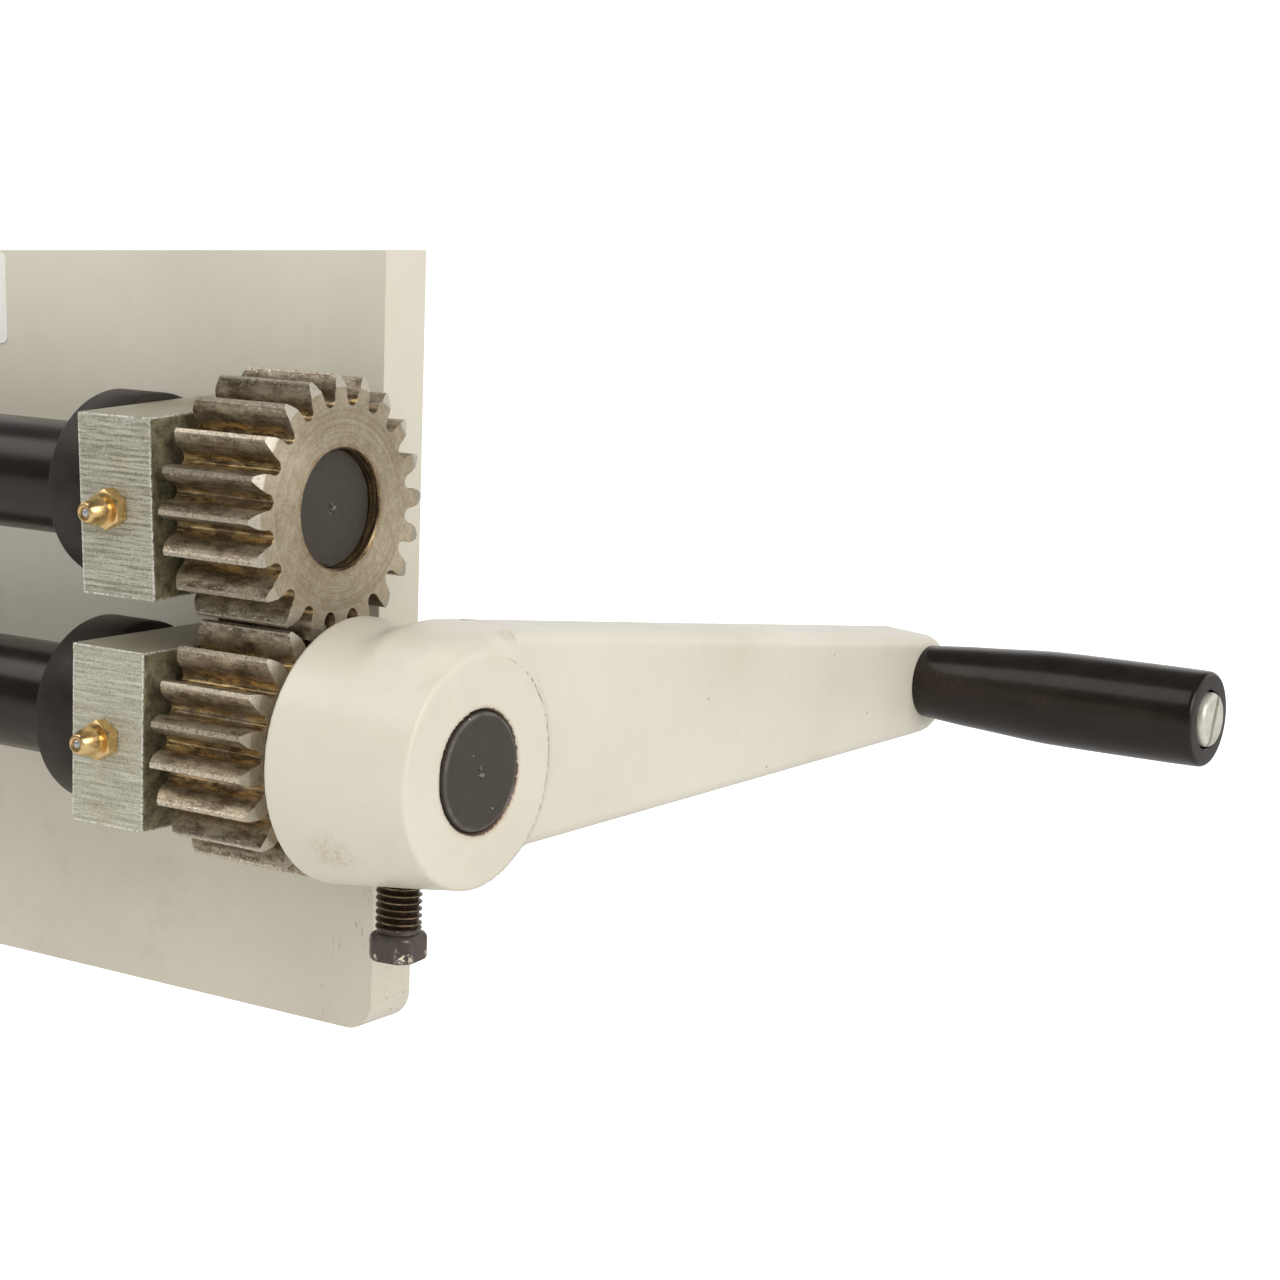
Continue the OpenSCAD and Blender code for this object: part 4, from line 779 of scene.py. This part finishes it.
def polygon_distance(p, corners):
    """Signed distance from 2D points to a convex or plain polygon, negative inside."""
    best = np.full(len(p), np.inf)
    inside = np.ones(len(p))
    count = len(corners)
    for i in range(count):
        a, b = np.array(corners[i]), np.array(corners[(i + 1) % count])
        edge = b - a
        away = p - a
        share = np.clip(away @ edge / (edge @ edge), 0, 1)
        best = np.minimum(best, ((away - share[:, None] * edge) ** 2).sum(1))
        up = p[:, 1] >= a[1]
        down = p[:, 1] < b[1]
        left = edge[0] * away[:, 1] > edge[1] * away[:, 0]
        flip = (up & down & left) | (~up & ~down & ~left)
        inside = np.where(flip, -inside, inside)
    return np.sqrt(best) * inside


def meet(a, b, radius):
    """Distance to what two shapes share, with the edge between them rounded."""
    q = np.stack([a + radius, b + radius], 1)
    return np.minimum(q.max(1), 0) + np.sqrt((np.maximum(q, 0) ** 2).sum(1)) - radius


def crank_distance(points):
    x = points[:, 0]
    local = points[:, 1:] - np.array([LOW_AXIS.y, LOW_AXIS.z])
    radius = np.hypot(local[:, 0], local[:, 1])
    back, front = HUB_BACK_X + HUB_ROUND, HUB_FRONT_X - HUB_ROUND
    past_axis = -20 * MM
    hub = [(back, past_axis), (front, past_axis), (front, HUB_FRONT_R - HUB_ROUND), (back, HUB_R - HUB_ROUND)]
    d_hub = polygon_distance(np.stack([x, radius], 1), hub) - HUB_ROUND
    rod = ARM_OUTLINE_R
    end = Vector((GRIP_AXIS.y - LOW_AXIS.y, GRIP_AXIS.z - LOW_AXIS.z - ARM_END_DROP))
    arm = [(0, rod - ARM_BOTTOM), (end.x, end.y - ARM_END_R + rod)]
    arm += [(end.x + (ARM_END_R - rod) * math.cos(a), end.y + (ARM_END_R - rod) * math.sin(a))
            for a in angles(range(-75, 90, 15))]
    arm += [(y, z - rod) for y, z in ARM_START]
    d_flat = polygon_distance(local, arm) - rod
    x1 = HUB_FRONT_X - ARM_PROUD
    x0 = x1 - ARM_THICK
    draft = (x - x0) * (ARM_DRAFT + ARM_DRAFT_MORE * np.clip(local[:, 0] / end.x, 0, 1))
    d_flat = d_flat + np.clip(draft, 0, ARM_THICK)
    d_arm = np.maximum(meet(d_flat, x - x1, ARM_ROUND), meet(d_flat, x0 - x, ARM_BACK_ROUND))
    blend = FRONT_BLEND + (BACK_BLEND - FRONT_BLEND) * np.clip((x1 - x) / BLEND_DEPTH, 0, 1)
    h = np.clip(0.5 + 0.5 * (d_arm - d_hub) / blend, 0, 1)
    joined = d_arm * (1 - h) + d_hub * h - blend * h * (1 - h)
    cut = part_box("lower_shaft")[1].z - LOW_AXIS.z + BORE_PLAY - radius
    h = np.clip(0.5 - 0.5 * (joined - cut) / BORE_LIP, 0, 1)
    return joined * (1 - h) + cut * h + BORE_LIP * h * (1 - h)


def make_crank():
    voxel = VOXEL
    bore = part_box("lower_shaft")[1].z - LOW_AXIS.z
    profile = [(HUB_BACK_X, bore), (HUB_BACK_X, HUB_R), (HUB_FRONT_X, HUB_FRONT_R), (HUB_FRONT_X, bore)]
    hub = turned("crank_casting", profile, LOW_AXIS, SIDES_BIG, closed=True)
    end = Vector((0, GRIP_AXIS.y, GRIP_AXIS.z))
    x1 = HUB_FRONT_X - ARM_PROUD
    radius = ARM_END_R * DRAFT_SHARE
    points = []
    for x in (x1 - ARM_THICK, x1):
        points += [(x, LOW_AXIS.y + bore + 1 * MM, LOW_AXIS.z + z * DRAFT_SHARE)
                   for z in (ARM_START[0][1], -ARM_BOTTOM)]
        points += [(x, end.y + radius * math.cos(a), end.z + radius * math.sin(a))
                   for a in angles(range(-90, 91, 15))]
    bm = bmesh.new()
    bmesh.ops.convex_hull(bm, input=[bm.verts.new(p) for p in points])
    arm = to_object(bm, "arm_draft")
    boolean(hub, "UNION", arm)
    remesh = hub.modifiers.new("remesh", "REMESH")
    remesh.mode = "VOXEL"
    remesh.voxel_size = voxel
    apply_all(hub, arm)
    points = np.array([v.co for v in hub.data.vertices])
    for _ in range(PULLS):
        distance = crank_distance(points)
        slope = np.stack([crank_distance(points + np.eye(3)[k] * NUDGE) - distance for k in range(3)], 1)
        slope /= np.maximum(np.linalg.norm(slope, axis=1), 1e-12)[:, None]
        points = points - np.clip(distance, -2 * voxel, 2 * voxel)[:, None] * slope
        smooth_tangent(hub.data, points, slope)
    hub.data.vertices.foreach_set("co", points.ravel())
    hub.data.update()
    for edge in hub.data.edges:
        edge.use_edge_sharp = False
    dress(hub, "crank_arm", enamel("crank_enamel", 0.08, crank_marks))


def smooth_tangent(mesh, points, normals):
    """Evens out the vertices along the surface, towards the mean of their neighbours."""
    ends = np.array([e.vertices[:] for e in mesh.edges])
    total = np.zeros_like(points)
    count = np.zeros(len(points))
    for a, b in ((0, 1), (1, 0)):
        np.add.at(total, ends[:, a], points[ends[:, b]])
        np.add.at(count, ends[:, a], 1)
    move = total / np.maximum(count, 1)[:, None] - points
    move -= (move * normals).sum(1)[:, None] * normals
    points += 0.5 * move


# Grip and its spindle
GRIP_SHARES = [
    (0, 0.775), (0.03, 0.795), (0.09, 0.826), (0.15, 0.859), (0.225, 0.889), (0.3, 0.922), (0.375, 0.958),
    (0.45, 0.985), (0.525, 0.993), (0.6, 0.997), (0.675, 0.999), (0.75, 1), (0.825, 1), (0.9, 0.999),
    (0.955, 0.996)
]
GRIP_BEVEL = 1.3 * MM
GRIP_BORE = 5.1 * MM
SHANK_R = 5 * MM
HEAD_TALL = 4 * MM
HEAD_R = 6.7 * MM
HEAD_ROUND = 1.3 * MM
HEAD_PLAY = 0.6 * MM
HEAD_SINK = 3.0 * MM
SLOT = (2 * 1.4 * MM, 1.6 * MM, 16 * MM)
SLOT_TURN = math.radians(-20)


def make_grip():
    low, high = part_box("crank_grip")
    length = high.x - low.x
    largest = (high.z - low.z) / 2
    profile = [(low.x + 0.4 * MM, GRIP_BORE), (low.x, GRIP_BORE + 0.4 * MM), (low.x, largest * 0.75)]
    profile += [(low.x + s * length, r * largest) for s, r in GRIP_SHARES]
    rim = largest * 0.992
    profile += [(high.x - GRIP_BEVEL, rim)]
    profile += [(high.x - GRIP_BEVEL * (1 - math.sin(a)), rim - GRIP_BEVEL * 0.8 * (1 - math.cos(a)))
                for a in angles((20, 40, 60, 78, 90))]
    sink = HEAD_R + HEAD_PLAY
    profile += [(high.x, sink + 0.3 * MM), (high.x - 0.3 * MM, sink), (high.x - HEAD_SINK, sink),
                (high.x - HEAD_SINK, GRIP_BORE)]
    grip = turned("grip_body", profile, GRIP_AXIS, SIDES_BIG, closed=True)
    dress(grip, "crank_grip", bakelite("grip_bakelite"))


def make_spindle():
    """Slotted screw: a shank, and a head with a rounded rim and a slot."""
    low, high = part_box("grip_spindle")
    head_x = high.x - HEAD_TALL
    profile = [(low.x, SHANK_R - 0.4 * MM), (low.x + 0.5 * MM, SHANK_R), (head_x, SHANK_R),
               (head_x, HEAD_R - 0.3 * MM), (head_x + 0.3 * MM, HEAD_R), (high.x - HEAD_ROUND, HEAD_R)]
    profile += [(high.x - HEAD_ROUND * (1 - math.sin(a)), HEAD_R - HEAD_ROUND * (1 - math.cos(a)))
                for a in angles((22, 45, 67, 90))]
    spindle = turned("grip_screw", profile, GRIP_AXIS)
    bm = bmesh.new()
    slot = Matrix.Translation((high.x, GRIP_AXIS.y, GRIP_AXIS.z)) @ Matrix.Rotation(SLOT_TURN, 4, "X")
    slot = slot @ Matrix.Diagonal((*SLOT, 1))
    bmesh.ops.create_cube(bm, size=1, matrix=slot)
    tool = to_object(bm, "slot_tool")
    boolean(spindle, "DIFFERENCE", tool)
    apply_all(spindle, tool)
    dress(spindle, "grip_spindle", zinc("spindle_zinc", (222, 218, 204), 0.45))


# Set screw under the hub
SET_HEAD = 6.1 * MM
SET_DOME = 0.9 * MM
SET_ROUND = 1.3 * MM
SET_FLAT = 5 * MM
SET_CORNER = 6 * MM
SET_NECK = 4.42 * MM
SET_TURN = math.radians(7)
SET_THREAD_R = 4.85 * MM
SET_PITCH = 1.5 * MM
SET_GROOVE = 0.8 * MM


def make_set_screw():
    """Square head with a domed end and rounded corners, a short neck and a full thread."""
    low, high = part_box("crank_set_screw")
    place = Matrix.Translation((middle("crank_set_screw").x, LOW_AXIS.y, 0))
    place = place @ Matrix.Rotation(-math.pi / 2, 4, "Y")
    flat, corner, neck = SET_FLAT, SET_CORNER, SET_NECK
    bm = bmesh.new()
    rings = [circle(low.z, 0.8 * MM, SIDES_FINE)]
    for t in angles((0, 18, 36, 54, 72, 90)):
        grow = 0.72 + 0.28 * math.sin(t)
        x = low.z + SET_DOME * (1 - math.cos(t))
        rings.append(polygon_ring(x, flat * min(1, grow + 0.06), corner * grow, 4, turn=SET_TURN))
    top = low.z + SET_HEAD
    for t in angles((0, 25, 50, 72, 90)):
        grow = 1 - 0.22 * (1 - math.cos(t))
        x = top - SET_ROUND * (1 - math.sin(t))
        rings.append(polygon_ring(x, flat * min(1, grow + 0.05), corner * grow, 4, turn=SET_TURN))
    rings += [circle(top + 0.1 * MM, neck + 0.12 * MM, SIDES_FINE), circle(top + 0.35 * MM, neck, SIDES_FINE),
              circle(top + 0.9 * MM, neck, SIDES_FINE)]
    rings += thread_rings(top + 0.95 * MM, high.z, SET_THREAD_R, SET_PITCH, SET_GROOVE, SIDES_FINE)
    loft_into(bm, rings, place)
    screw = to_object(bm, "set_screw", math.radians(35))
    dress(screw, "crank_set_screw", set_screw_finish("set_screw_oxide", low.z))


# Grease nipples: hexagon, groove, flared cone, steel ball
NIPPLE_FLATS = 7.5 * MM
CORNER_SHARE = 0.97
HEX_TOP = 2.9 * MM
STEM_R = 2.9 * MM
STEM_DEEP = 5 * MM
SEAT_GAP = 0.1 * MM
BALL_R = 1.06 * MM
BALL_OUT = 7.55 * MM
NIPPLE_PROFILE = [(2.95, 2.9), (3.1, 2.5), (3.6, 2.36), (4.1, 2.45), (4.5, 3.0), (4.7, 3.22), (5.0, 3.2),
                  (7.7, 2.3), (8.15, 2.1), (8.4, 1.85), (8.45, 1.6), (8.3, 1.2), (7.9, 1.1)]
NIPPLE_OFF = Vector((-0.8, -25, -0.4)) * MM


def make_nipples(node, seats):
    bm = bmesh.new()
    balls = bmesh.new()
    for seat, turn in seats:
        place = Matrix.Translation(seat) @ turn @ Matrix.Rotation(-math.pi / 2, 4, "Z")
        rings = [circle(x, STEM_R, SIDES_FINE) for x in (-STEM_DEEP, SEAT_GAP)]
        rings += hex_rings(SEAT_GAP, HEX_TOP, NIPPLE_FLATS)
        rings += [circle(x * MM, r * MM, SIDES_FINE) for x, r in NIPPLE_PROFILE]
        loft_into(bm, rings, place)
        ball = place @ Matrix.Translation((BALL_OUT, 0, 0))
        bmesh.ops.create_uvsphere(balls, u_segments=24, v_segments=16, radius=BALL_R, matrix=ball)
    dress(to_object(bm, node + "_shape", math.radians(26)), node, brass(node + "_brass"))
    steel = to_object(balls, node + "_balls", math.radians(80))
    steel.data.materials.append(zinc(node + "_steel", (205, 205, 205)))
    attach(steel, BODY_OF[node])


def nipple_seats(axis, blocks):
    """Nipple seats on the front faces of blocks that are turned about the shaft axis."""
    return [(Vector((middle(block).x, axis.y, axis.z)) + turn @ NIPPLE_OFF, turn) for block, turn in blocks]


# Shafts, collars and turned rings
SHAFT_R = 12.5 * MM
SEAT_R = 10 * MM
THREAD_R = 8 * MM
END_CHAMFER = 0.9 * MM
FIT = 0.02 * MM
THRUST_PLAY = 0.08 * MM


def make_shaft(node, axis):
    low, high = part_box(node)
    radius, seat, thread = SHAFT_R, SEAT_R, THREAD_R
    step_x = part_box("lower_spacer")[1].x
    bead_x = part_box("lower_bead_roll")[0].x
    profile = [(bead_x, thread), (bead_x, seat), (step_x, seat), (step_x, radius - 0.4 * MM),
               (step_x + 0.4 * MM, radius), (high.x - END_CHAMFER, radius),
               (high.x - 0.35 * MM, radius - 0.25 * MM), (high.x, radius - END_CHAMFER), (high.x, 1.3 * MM),
               (high.x - 0.25 * MM, 1.1 * MM), (high.x - 0.9 * MM, 0.3 * MM)]
    bm = bmesh.new()
    rings = [circle(low.x, thread - 0.9 * MM)]
    rings += thread_rings(low.x + 0.2 * MM, bead_x - 0.2 * MM, thread, 2 * MM, 1.1 * MM)
    rings += [circle(x, r) for x, r in profile]
    loft_into(bm, rings, on_axis(axis))
    finish = shaft_finish(node + "_finish", axis, high.x)
    dress(to_object(bm, node + "_shape", math.radians(24)), node, finish)


def make_ring(node, axis, edge, finish, inner=SHAFT_R):
    """Ring with small chamfers on its outer edges."""
    low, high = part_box(node)
    outer = (high.z - low.z) / 2
    side = [(0, inner + FIT), (0, outer - edge), (edge * 0.3, outer - edge * 0.3), (edge, outer)]
    profile = [(low.x + x, r) for x, r in side] + [(high.x - x, r) for x, r in reversed(side)]
    dress(turned(node + "_shape", profile, axis, SIDES_BIG, closed=True), node, finish)


# Label
LABEL_LEFT = 127.2 * MM
LABEL_UP = 75.9 * MM
LABEL_TALL = 21.3 * MM
LABEL_LONG = 160 * MM
LABEL_THICK = 0.3 * MM
LABEL_ROUND = 1.5 * MM
PLATE_LONG = 612
PLATE_FALL = 25
TOP_SLOPE = math.atan2(PLATE_FALL, PLATE_LONG)


def make_label():
    """Blank white label on the plate's front face, in line with the plate's sloping top edge."""
    corner = Vector((GEAR_FACE_X - LABEL_LEFT, PLATE_LOW.y, LOW_AXIS.z + LABEL_UP))
    place = Matrix.Translation(corner) @ Matrix.Rotation(-TOP_SLOPE, 4, "Y")
    bm = bmesh.new()
    loft_into(bm, [[(x, y, z) for x, z in rounded_box(LABEL_LONG, LABEL_TALL, LABEL_ROUND)]
                   for y in (-LABEL_THICK, 0)], place)
    label = to_object(bm, "blank_label")
    f = Finish("label_white")
    f.bump(f.noise(3, 2, 0.5), 0.01, 0.4)
    color = f.mix(f.noise(12, 3, 0.5), srgb(242, 240, 232), srgb(234, 231, 222))
    label.data.materials.append(f.done(color, 0.42))
    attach(label, "root")


def rounded_box(width, height, radius, steps=4):
    """Outline of a box from (-width, 0) to (0, height) with round corners."""
    spots = [(-radius, radius, -90), (-radius, height - radius, 0), (radius - width, height - radius, 90),
             (radius - width, radius, 180)]
    return [(x + radius * math.cos(a), z + radius * math.sin(a)) for x, z, start in spots
            for a in angles(start + 90 * i / steps for i in range(steps + 1))]


# Stage and light
FLOOR_HALF = 12
FLOOR_DROP = 0.2 * MM
FLOOR_GLOW = 0.70
FLOOR_LIGHT = 0.86
FLOOR_GLOSS = 0.62
WORLD_LIGHT = 0.73
WORLD_DARK = 0.12


def make_stage():
    """White floor that keeps the shadow: it glows for the camera alone, and is duller in reflections."""
    bm = bmesh.new()
    bmesh.ops.create_grid(bm, x_segments=1, y_segments=1, size=FLOOR_HALF)
    floor = to_object(bm, "floor")
    floor.location.z = -FLOOR_DROP
    material = bpy.data.materials.new("floor_white")
    n = Nodes(material, "ShaderNodeOutputMaterial")
    path = n.node("ShaderNodeLightPath").outputs
    grey = n.remap(path["Is Glossy Ray"], 0.0, 1.0, FLOOR_LIGHT, FLOOR_GLOSS)
    matte = n.node("ShaderNodeBsdfDiffuse", {0: grey})
    glow = n.node("ShaderNodeEmission", {"Strength": n.times(path["Is Camera Ray"], FLOOR_GLOW)})
    n.feed(n.out, n.node("ShaderNodeAddShader", {0: matte.outputs[0], 1: glow.outputs[0]}).outputs[0])
    floor.data.materials.append(material)


def make_world():
    """White where the camera looks, and even for light; gloss sees it bright behind the object, else dim."""
    world = bpy.data.worlds.new("studio")
    bpy.context.scene.world = world
    n = Nodes(world, "ShaderNodeOutputWorld")
    way = n.node("ShaderNodeSeparateXYZ", {0: n.node("ShaderNodeTexCoord").outputs["Generated"]}).outputs
    backdrop = n.times(n.step(way["Y"], -0.35, 0.2), n.step(way["Z"], 0.72, 0.42))
    room = n.remap(backdrop, 0.0, 1.0, WORLD_DARK, 1.0)
    path = n.node("ShaderNodeLightPath").outputs
    lit = n.node("ShaderNodeMix", {0: path["Is Glossy Ray"], 2: WORLD_LIGHT, 3: room}).outputs[0]
    seen = n.math("MAXIMUM", path["Is Camera Ray"], path["Is Transmission Ray"])
    power = n.node("ShaderNodeMix", {0: seen, 2: lit, 3: 1.0}).outputs[0]
    n.feed(n.out, n.node("ShaderNodeBackground", {"Color": (1, 1, 1), "Strength": power}).outputs[0])


def make_lamp(name, place, target, size, power, seen=("diffuse", "glossy")):
    """Area lamp of a width and height; seen lists what it lights."""
    data = bpy.data.lights.new(name, "AREA")
    data.energy = power
    data.shape = "RECTANGLE"
    data.size, data.size_y = size
    lamp = bpy.data.objects.new(name, data)
    lamp.location = place
    direction = Vector(target) - Vector(place)
    lamp.rotation_euler = direction.to_track_quat("-Z", "Y").to_euler()
    lamp.visible_diffuse = "diffuse" in seen
    lamp.visible_glossy = "glossy" in seen
    bpy.context.scene.collection.objects.link(lamp)


def make_lamps():
    """Key from the crank side, a softbox overhead, a fill beside the camera and a card for the chamfers."""
    target = (0.3, 0, 0.22)
    make_lamp("key", (1.75, -0.35, 1.05), target, (1.2, 1.0), 13.3)
    make_lamp("softbox", (-0.85, -0.82, 1.5), (-0.85, -0.82, 0), (2.0, 1.15), 11.4)
    make_lamp("fill", (0.4, -1.5, 0.3), target, (1.2, 1.0), 1.9, ("diffuse",))
    make_lamp("card", (2.2, 0.33, 0.40), target, (1.0, 0.7), 2.15, ("glossy",))


make_camera()
make_stage()
make_world()
make_lamps()

bpy.context.scene.view_settings.view_transform = "Standard"

# The last number is each gear's painted light: the lower gear's steel is painted lighter than the upper one's
make_gear("upper_gear", UP_AXIS, math.radians(270) + GEAR_PHASE, 1.05)
make_gear("lower_gear", LOW_AXIS, math.radians(90) - GEAR_PHASE + math.pi / GEAR_TEETH, 1.3)
make_crank()
make_grip()
make_spindle()
make_set_screw()
ROLLED = Matrix.Rotation(math.radians(-0.4), 4, "Y") @ Matrix.Rotation(math.radians(2.7), 4, "X")
for side, axis, turn in (("lower", LOW_AXIS, Matrix()), ("upper", UP_AXIS, ROLLED)):
    seats = nipple_seats(axis, [(side + "_rear_block", turn), (side + "_front_block", Matrix())])
    make_nipples(side + "_nipples", seats)
make_shaft("lower_shaft", LOW_AXIS)
make_shaft("upper_shaft", UP_AXIS)
COLLAR = black_oxide("collar_oxide", 0.5)
COLLAR_EDGE = 0.8 * MM
make_ring("lower_collar", LOW_AXIS, COLLAR_EDGE, COLLAR)
make_ring("upper_collar", UP_AXIS, COLLAR_EDGE, COLLAR)
for side, axis in (("lower", LOW_AXIS), ("upper", UP_AXIS)):
    make_ring(side + "_spacer", axis, 0.6 * MM, COLLAR, SEAT_R)
    make_ring(side + "_roll_washer", axis, 0.4 * MM, zinc(side + "_washer_zinc"), THREAD_R)
    thrust_steel = roll_steel(side + "_thrust_steel")
    make_ring(side + "_gear_washer", axis, 0.2 * MM, thrust_steel, SHAFT_R + THRUST_PLAY)
STAIN = middle("lower_rear_block") + Vector((5, -22, 4)) * MM
# The first number is painted light: the lower blocks' zinc is painted a little lighter than the upper blocks'
BLOCK_FINISH = {"lower": block_finish("lower_block_zinc", 1.04, 0.4, STAIN),
                "upper": block_finish("upper_block_zinc", 0.98, 1.0)}
BLOCK_BEVEL = 1.3 * MM
for node in ("lower_rear_block", "upper_rear_block", "lower_front_block", "upper_front_block"):
    dress(softened(node, BLOCK_BEVEL, 4), node, BLOCK_FINISH[node[:5]])

PAINT = enamel("plate_enamel", 0.10, plate_marks)
STAND = enamel("stand_enamel", 0.08)
BRIGHT = zinc("bright_zinc")
OXIDE = black_oxide("bolt_oxide")
ROLL = roll_steel("roll_steel")
BRONZE = brass("bronze", (176, 132, 84))
# Everything else keeps its solid shape with softened edges: width in millimetres, segments, finish, nodes
SOFTENED = (
    (0.3, 3, PAINT, ["frame_plate"]),
    (1.2, 3, STAND, ["pedestal_base", "pedestal_column", "pedestal_saddle", "screw_yoke"]),
    (0.4, 2, BRIGHT, ["saddle_bolts", "saddle_nuts", "handle_bar", "screw_keeper"]),
    (0.25, 2, BRIGHT, ["saddle_washers", "block_washers", "yoke_washers", "pivot_washer"]),
    (0.35, 2, OXIDE, ["block_bolts", "pivot_bolt", "yoke_bolts", "keeper_screws", "adjusting_screw"]),
    (0.25, 2, OXIDE, ["lower_collar_screw", "upper_collar_screw", "lower_roll_nut", "upper_roll_nut"]),
    (0.25, 2, OXIDE, ["lower_roll_key", "upper_roll_key"]),
    (0.3, 2, OXIDE, ["lower_gear_pin", "upper_gear_pin"]),
    (0.25, 2, ROLL, ["lower_crimp_roll", "upper_crimp_roll"]),
    (0.3, 2, ROLL, ["lower_bead_roll", "upper_bead_roll"]),
    (0.2, 2, BRONZE, ["lower_bushes", "upper_bushes", "thrust_pad"]),
    (0.2, 2, bakelite("knob_bakelite"), ["bar_knobs"])
)
for width, segments, finish, nodes in SOFTENED:
    for node in nodes:
        dress(softened(node, width * MM, segments), node, finish)
make_label()
